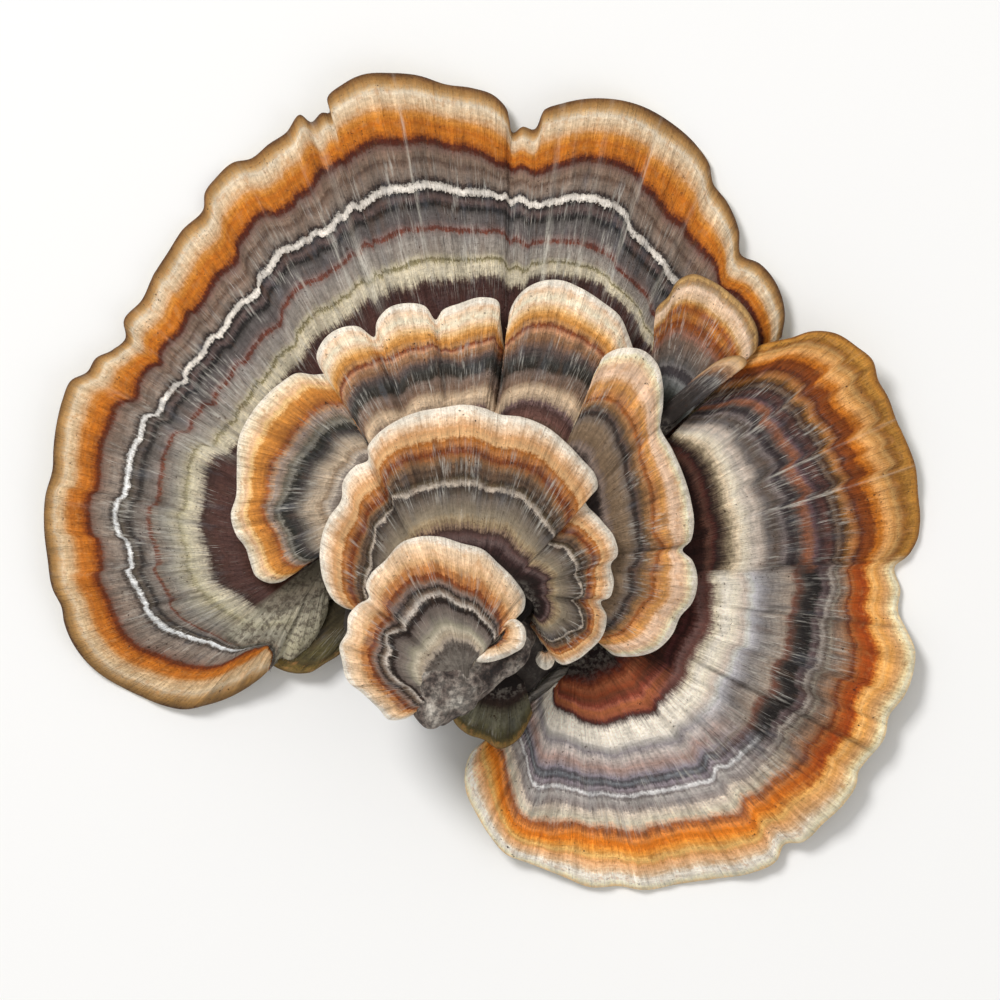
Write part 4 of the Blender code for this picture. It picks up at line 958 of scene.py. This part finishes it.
# %% Pleats tree
def tree_inputs(tree, entries):
    """Declares a tree's geometry in and out and its named inputs; returns their identifiers."""
    tree.interface.new_socket("Geometry", in_out="INPUT", socket_type="NodeSocketGeometry")
    tree.interface.new_socket("Geometry", in_out="OUTPUT", socket_type="NodeSocketGeometry")
    ids = {}
    for label, kind, value in entries:
        socket = tree.interface.new_socket(label, in_out="INPUT", socket_type=kind)
        if value is not None:
            socket.default_value = value
        ids[label] = socket.identifier
    return ids


def pleats_tree():
    tree = bpy.data.node_groups.new("radial pleats", "GeometryNodeTree")
    ids = tree_inputs(tree, [("Pleat height", "NodeSocketFloat", 0.0001),
                             ("Pleats per mm", "NodeSocketFloat", 0.5),
                             ("Seed", "NodeSocketFloat", 0.0), ("Skin", "NodeSocketMaterial", None),
                             ("Pores", "NodeSocketMaterial", None)])
    start = add(tree, "NodeGroupInput")
    pattern = add(tree, "GeometryNodeInputNamedAttribute", {"Name": "pattern"}, data_type="FLOAT_VECTOR")
    growth = add(tree, "GeometryNodeInputNamedAttribute", {"Name": "growth"}, data_type="FLOAT_VECTOR")
    marks = add(tree, "GeometryNodeInputNamedAttribute", {"Name": "marks"}, data_type="FLOAT_VECTOR")
    upper = add(tree, "GeometryNodeInputNamedAttribute", {"Name": "upper"}, data_type="FLOAT")
    under = add(tree, "GeometryNodeInputNamedAttribute", {"Name": "under"}, data_type="BOOLEAN")
    stretch = add(tree, "ShaderNodeCombineXYZ", {0: start.outputs["Pleats per mm"], 1: 0.12, 2: 1.0})
    place = add(tree, "ShaderNodeVectorMath", {0: pattern, 1: stretch}, operation="MULTIPLY")
    seeded = add(tree, "ShaderNodeVectorMath", {0: place, 1: add(tree, "ShaderNodeCombineXYZ",
                 {2: start.outputs["Seed"]})}, operation="ADD")
    noise = add(tree, "ShaderNodeTexNoise", {"Vector": seeded, "Scale": 1.0, "Detail": 2.0,
                                             "Roughness": 0.55})
    centred = add(tree, "ShaderNodeMath", {0: noise.outputs["Fac"], 1: 0.5}, operation="SUBTRACT")
    v = add(tree, "ShaderNodeSeparateXYZ", {0: growth})
    outer = add(tree, "ShaderNodeMapRange", {0: v.outputs["Y"], 1: 0.2, 2: 0.85, 3: 0.25, 4: 1.0})
    rim = add(tree, "ShaderNodeSeparateXYZ", {0: marks})
    amount = add(tree, "ShaderNodeMath", {0: centred, 1: start.outputs["Pleat height"]}, operation="MULTIPLY")
    amount = add(tree, "ShaderNodeMath", {0: amount, 1: outer}, operation="MULTIPLY")
    amount = add(tree, "ShaderNodeMath", {0: amount, 1: rim.outputs["Z"]}, operation="MULTIPLY")
    amount = add(tree, "ShaderNodeMath", {0: amount, 1: upper}, operation="MULTIPLY")
    offset = add(tree, "ShaderNodeVectorMath", {0: add(tree, "GeometryNodeInputNormal"), 3: amount},
                 operation="SCALE")
    moved = add(tree, "GeometryNodeSetPosition", {"Geometry": start.outputs["Geometry"], "Offset": offset})
    plain = add(tree, "GeometryNodeRealizeInstances", {0: moved})
    skin = add(tree, "GeometryNodeSetMaterial", {"Geometry": plain, "Material": start.outputs["Skin"]})
    pores = add(tree, "GeometryNodeSetMaterial", {"Geometry": skin, "Selection": under,
                "Material": start.outputs["Pores"]})
    add(tree, "NodeGroupOutput", {0: pores})
    return tree, ids


def grown(piece, tree, ids, values, name=None):
    """Runs a tree on a piece and returns the plain mesh that it makes."""
    modifier = piece.modifiers.new("nodes", "NODES")
    modifier.node_group = tree
    for label, value in values.items():
        modifier[ids[label]] = value
    piece.update_tag()
    result = piece.evaluated_get(bpy.context.evaluated_depsgraph_get())
    mesh = bpy.data.meshes.new_from_object(result)
    if name is None:
        piece.modifiers.remove(modifier)
        old = piece.data
        piece.data = mesh
        bpy.data.meshes.remove(old)
        return piece
    new = bpy.data.objects.new(name, mesh)
    bpy.context.scene.collection.objects.link(new)
    piece.modifiers.remove(modifier)
    return new


PLEATS, PLEAT_IDS = pleats_tree()
print("pleats inputs:", PLEAT_IDS)

# %% [markdown]
# ## Down with Geometry Nodes
# The upper side of a turkey tail is covered with short down, longest on the old inner zones
# and at the torn edges. A particle system would not survive the export, so points are
# scattered on the upper side with a fixed seed, and a three-sided blade that leans outward
# along its ray stands on each. The blades keep the zone number of the spot they grow from,
# so they take its colour. Real hairs are 0.01 to 0.02 mm thick; these are coarser, to show.

# %% Down tree
def down_tree():
    tree = bpy.data.node_groups.new("down", "GeometryNodeTree")
    ids = tree_inputs(tree, [("Blades per square m", "NodeSocketFloat", 4e6),
                             ("Length", "NodeSocketFloat", 0.0006),
                             ("Width", "NodeSocketFloat", 0.00007), ("Lean", "NodeSocketFloat", 1.0),
                             ("Seed", "NodeSocketInt", 1), ("Skin", "NodeSocketMaterial", None)])
    start = add(tree, "NodeGroupInput")
    downy = add(tree, "GeometryNodeInputNamedAttribute", {"Name": "downy"}, data_type="FLOAT")
    outward = add(tree, "GeometryNodeInputNamedAttribute", {"Name": "outward"}, data_type="FLOAT_VECTOR")
    density = add(tree, "ShaderNodeMath", {0: downy, 1: start.outputs["Blades per square m"]},
                  operation="MULTIPLY")
    points = add(tree, "GeometryNodeDistributePointsOnFaces", {"Mesh": start.outputs["Geometry"],
                 "Density": density, "Seed": start.outputs["Seed"]})
    blade = add(tree, "GeometryNodeMeshCone", {"Vertices": 3, "Radius Top": 0.0,
                                               "Radius Bottom": start.outputs["Width"],
                "Depth": start.outputs["Length"]})
    chance = add(tree, "FunctionNodeRandomValue", {0: (-1, -1, -1), 1: (1, 1, 1),
                                                   "Seed": start.outputs["Seed"]},
                 data_type="FLOAT_VECTOR")
    lean = add(tree, "ShaderNodeVectorMath", {0: outward, 3: start.outputs["Lean"]}, operation="SCALE")
    stray = add(tree, "ShaderNodeVectorMath", {0: chance, 3: 0.45}, operation="SCALE")
    rise = add(tree, "ShaderNodeVectorMath", {0: points.outputs["Normal"], 3: 0.5}, operation="SCALE")
    aim = add(tree, "ShaderNodeVectorMath", {0: lean, 1: stray}, operation="ADD")
    aim = add(tree, "ShaderNodeVectorMath", {0: aim, 1: rise}, operation="ADD")
    turn = add(tree, "FunctionNodeAlignRotationToVector", {"Vector": aim}, axis="Z")
    sizes = add(tree, "FunctionNodeRandomValue", {2: 0.45, 3: 1.25, "Seed": start.outputs["Seed"]},
                data_type="FLOAT")
    blades = add(tree, "GeometryNodeInstanceOnPoints", {"Points": points.outputs["Points"], "Instance": blade,
                 "Rotation": turn, "Scale": sizes})
    plain = add(tree, "GeometryNodeRealizeInstances", {0: blades})
    done = add(tree, "GeometryNodeSetMaterial", {"Geometry": plain, "Material": start.outputs["Skin"]})
    add(tree, "NodeGroupOutput", {0: done})
    return tree, ids


DOWN, DOWN_IDS = down_tree()
print("down inputs:", DOWN_IDS)

# %% [markdown]
# ## Grow the brackets
# Each bracket is a shell, joined from more than one form where it has a curl of its own.
# The pleats tree finishes it, then it stands for the CAD solid of the same name.

# %% Grow every bracket
SKINS = {
    "great_cap": dict(sectors=[(0, 0, GREAT_LEFT), (0.36, 0.12, GREAT_ZONES)], seed=1.0, fringe=0.55),
    "side_cap": dict(sectors=[(0, 0, SIDE_UPPER), (0.285, 0.02, SIDE_MIDDLE), (0.52, 0.08, SIDE_LOWER),
                               (0.945, 0.012, SIDE_BORDER)], seed=5.0, gain=1.07,
                     fringe=0.41),
}
for seed, (key, zones) in enumerate(SMALL_ZONES.items()):
    SKINS[key] = dict(sectors=[(0, 0, zones)], seed=11.0 + 3 * seed, fringe=0.42)
JOINED = {"top_cap": ["top_cap", "top_curl"], "inner_cap": ["inner_cap", "inner_knob"]}
pieces, down = {}, {}
for seed, (key, options) in enumerate(SKINS.items()):
    parts = [shell(FORMS[part], 20 + seed + 50 * i) for i, part in enumerate(JOINED.get(key, [key]))]
    sizes = lay_out(FORMS[key], 0)
    skin = zoned_skin(f"felted_skin_{key}", length=sizes["length"], ray=float(sizes["ray"].mean()), **options)
    piece = mesh_from(f"{key}_shell", parts)
    pieces[key] = grown(piece, PLEATS, PLEAT_IDS, {"Pleat height": 0.001, "Pleats per mm": 0.55,
                        "Seed": float(seed * 3), "Skin": skin, "Pores": PORES})
    down_skin = zoned_skin(f"downy_felt_{key}", length=sizes["length"], ray=float(sizes["ray"].mean()),
                           **{**options, "gain": 1.15})
    hairs = grown(piece, DOWN, DOWN_IDS, {"Blades per square m": 5e6, "Length": 0.0004, "Width": 0.00003,
                  "Lean": 1.0, "Seed": seed + 1, "Skin": down_skin}, f"{key}_down")
    down[key] = hairs
    print(hairs.name, "blades:", len(hairs.data.vertices) // 4)

# %% [markdown]
# ## The foot
# The brackets share one lump of tissue, cut off flat where the wood was. It is lofted
# through outlines, as rings of reach around a middle, and roughened with seeded lumps and
# pits. The lowest ring and a middle point close the cut face.

# %% Foot
FOOT_LEVELS = numbers("""
0 0 0 13.4 12.6 11.4 11.2 11.6 11.6 12.4 12.8 11.8 11.4 12 12.6;
1 0 0 13.8 13 11.8 11.6 12 12 12.8 13.4 12.2 11.8 12.2 12.8;
4.2 0 0 14 13.2 12.2 12.2 12.6 12.4 13.4 14.4 12.8 12 12.8 12.8;
7.5 0 0 15.2 14 12.6 12.8 13.2 12.6 13.2 14.2 12.4 12 13 13.2;
10.5 0 0 15 13.6 12.6 12.8 13.2 12.4 11.6 9.6 9.6 11.6 12.6 12.8;
13.6 0 -.6 12 12.2 12.2 13.4 12.8 11.6 10.8 8.4 8.4 11.2 12 12;
17.6 .8 -3.8 8.4 8 8.6 9.4 9.4 8.8 8.4 6.6 6.4 7.6 9 8.8;
20.6 1 -5 7.4 6.6 6.8 7.2 7.4 7.6 7.8 5.8 5.2 6.8 9.8 9;
22.6 .4 -5.8 6.6 5.8 5.2 5 5 5 5.4 5.2 5.2 6.8 9.4 8.6;
24.2 -.6 -7.4 5.2 4.2 3.4 3.2 3 3.2 3.8 4 3.8 5 7 6.6;
25.6 -1.2 -9 3.4 2.8 2.4 2.2 2 2.2 2.4 2.2 2.2 2.8 3.8 3.8""")
FOOT_AROUND, FOOT_UP = 180, 120


def lumps(points, seed, size, count=26):
    """Seeded smooth noise made of plane waves, about -1 to 1, with that wavelength in mm."""
    chance = np.random.default_rng(seed)
    total = np.zeros(len(points))
    for _ in range(count):
        direction = chance.normal(size=3)
        direction /= np.linalg.norm(direction)
        wave = size * chance.uniform(0.7, 1.6)
        total += np.sin(points @ direction * 2 * np.pi / wave + chance.uniform(0, 6.28))
    return total / math.sqrt(count / 2) / 1.6


def foot_mesh():
    levels = np.array(FOOT_LEVELS)
    up = np.linspace(0, 1, FOOT_UP)
    profile = curve_through(np.linspace(0, 1, len(levels)), levels, up)
    around = np.arange(FOOT_AROUND) / FOOT_AROUND * 12
    points = []
    for row in profile:
        reach = row[3:]
        closed = [*reach[-2:], *reach, *reach[:3]]
        radius = curve_through(range(-2, 15), closed, around)[:, 0]
        angle = np.radians(180 - 30 * around)
        points.append(np.c_[row[1] + radius * np.cos(angle), row[2] + radius * np.sin(angle),
                            np.full(FOOT_AROUND, row[0])])
    points = np.array(points)
    middle = points.mean(axis=1, keepdims=True)
    flat = points.reshape(-1, 3)
    bumpy = 0.4 * lumps(flat, 3, 7) + 0.13 * lumps(flat, 4, 2.6) - 0.25 * np.clip(lumps(flat, 5, 1.7) - 0.5,
        0, 1)
    bumpy = bumpy.reshape(FOOT_UP, FOOT_AROUND, 1) * np.clip(points[..., 2:] / 1.5, 0, 1)
    direction = points - middle
    direction /= np.linalg.norm(direction, axis=2, keepdims=True)
    points = points + direction * bumpy
    points[..., 2] += np.clip(points[..., 2] / 20, 0, 1) * 0.5 * bumpy[..., 0]
    index = np.arange(FOOT_UP * FOOT_AROUND).reshape(FOOT_UP, FOOT_AROUND)
    nxt = np.roll(index, -1, axis=1)
    faces = np.stack([index[:-1], nxt[:-1], nxt[1:], index[1:]], -1).reshape(-1, 4)[:, ::-1].tolist()
    ends = [points[0].mean(axis=0), points[-1].mean(axis=0) + (0, 0, 0.45)]
    vertices = np.r_[points.reshape(-1, 3), ends]
    faces += [[int(nxt[0, i]), int(index[0, i]), len(vertices) - 2][::-1] for i in range(FOOT_AROUND)]
    faces += [[int(index[-1, i]), int(nxt[-1, i]), len(vertices) - 1][::-1] for i in range(FOOT_AROUND)]
    mesh = bpy.data.meshes.new("foot_tissue")
    mesh.from_pydata((vertices * MM).tolist(), [], faces)
    mesh.polygons.foreach_set("use_smooth", [True] * len(mesh.polygons))
    mesh.materials.append(FOOT_SKIN)
    mesh.update()
    piece = bpy.data.objects.new("foot_tissue", mesh)
    bpy.context.scene.collection.objects.link(piece)
    return piece


pieces["foot"] = foot_mesh()
print("foot height, mm:", round(pieces["foot"].dimensions.z / MM, 2))

# %% Floor, light and camera
VIEW_MM = 135.0              # the width of the view at the object
AIM = Vector((5.4, 16.2, 8.0)) * MM
LENS, SENSOR = 400.0, 36.0


def floor_and_light():
    scene = bpy.context.scene
    mesh = bpy.data.meshes.new("floor")
    reach = 3.0
    mesh.from_pydata([(-reach, -reach, 0), (reach, -reach, 0), (reach, reach, 0), (-reach, reach, 0)], [],
                     [(0, 1, 2, 3)])
    floor = bpy.data.objects.new("floor", mesh)
    scene.collection.objects.link(floor)
    paper = bpy.data.materials.new("white_studio_paper")
    paper.use_nodes = True
    paper.node_tree.nodes["Principled BSDF"].inputs["Base Color"].default_value = colour("f7f6f4")
    paper.node_tree.nodes["Principled BSDF"].inputs["Roughness"].default_value = 0.9
    mesh.materials.append(paper)
    world = bpy.data.worlds.new("studio")
    world.use_nodes = True
    world.node_tree.nodes["Background"].inputs["Color"].default_value = (1, 1, 1, 1)
    world.node_tree.nodes["Background"].inputs["Strength"].default_value = 0.5
    scene.world = world
    for name, place, size, power in (("key", (-0.55, 0.65, 1.15), 0.4, 12.5),
                                     ("fill", (0.9, -0.5, 0.9), 0.8, 2.0)):
        lamp = bpy.data.lights.new(name, "AREA")
        lamp.size, lamp.energy = size, power
        light = bpy.data.objects.new(name, lamp)
        light.location = place
        light.rotation_euler = (AIM - Vector(place)).to_track_quat("-Z", "Y").to_euler()
        scene.collection.objects.link(light)
    camera = bpy.data.cameras.new("camera")
    camera.lens, camera.sensor_width = LENS, SENSOR
    camera.clip_end = 20
    eye = bpy.data.objects.new("camera", camera)
    distance = VIEW_MM * MM * LENS / SENSOR
    eye.matrix_world = Matrix.Translation(AIM + Vector((0, 0, distance)))
    scene.collection.objects.link(eye)
    scene.camera = eye
    scene.view_settings.view_transform = "Standard"
    return distance


print("camera distance, m:", round(floor_and_light(), 3))

# %% Ride, replace and finish
for key, piece in pieces.items():
    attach(piece, "root")
    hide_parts(key)
for key, hairs in down.items():
    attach(hairs, "root")
triangles = {key: sum(len(p.vertices) - 2 for p in piece.data.polygons) for key,
             piece in [*pieces.items(), *((f"{k}_down", d) for k, d in down.items())]}
print("triangles:", triangles, "total", sum(triangles.values()))
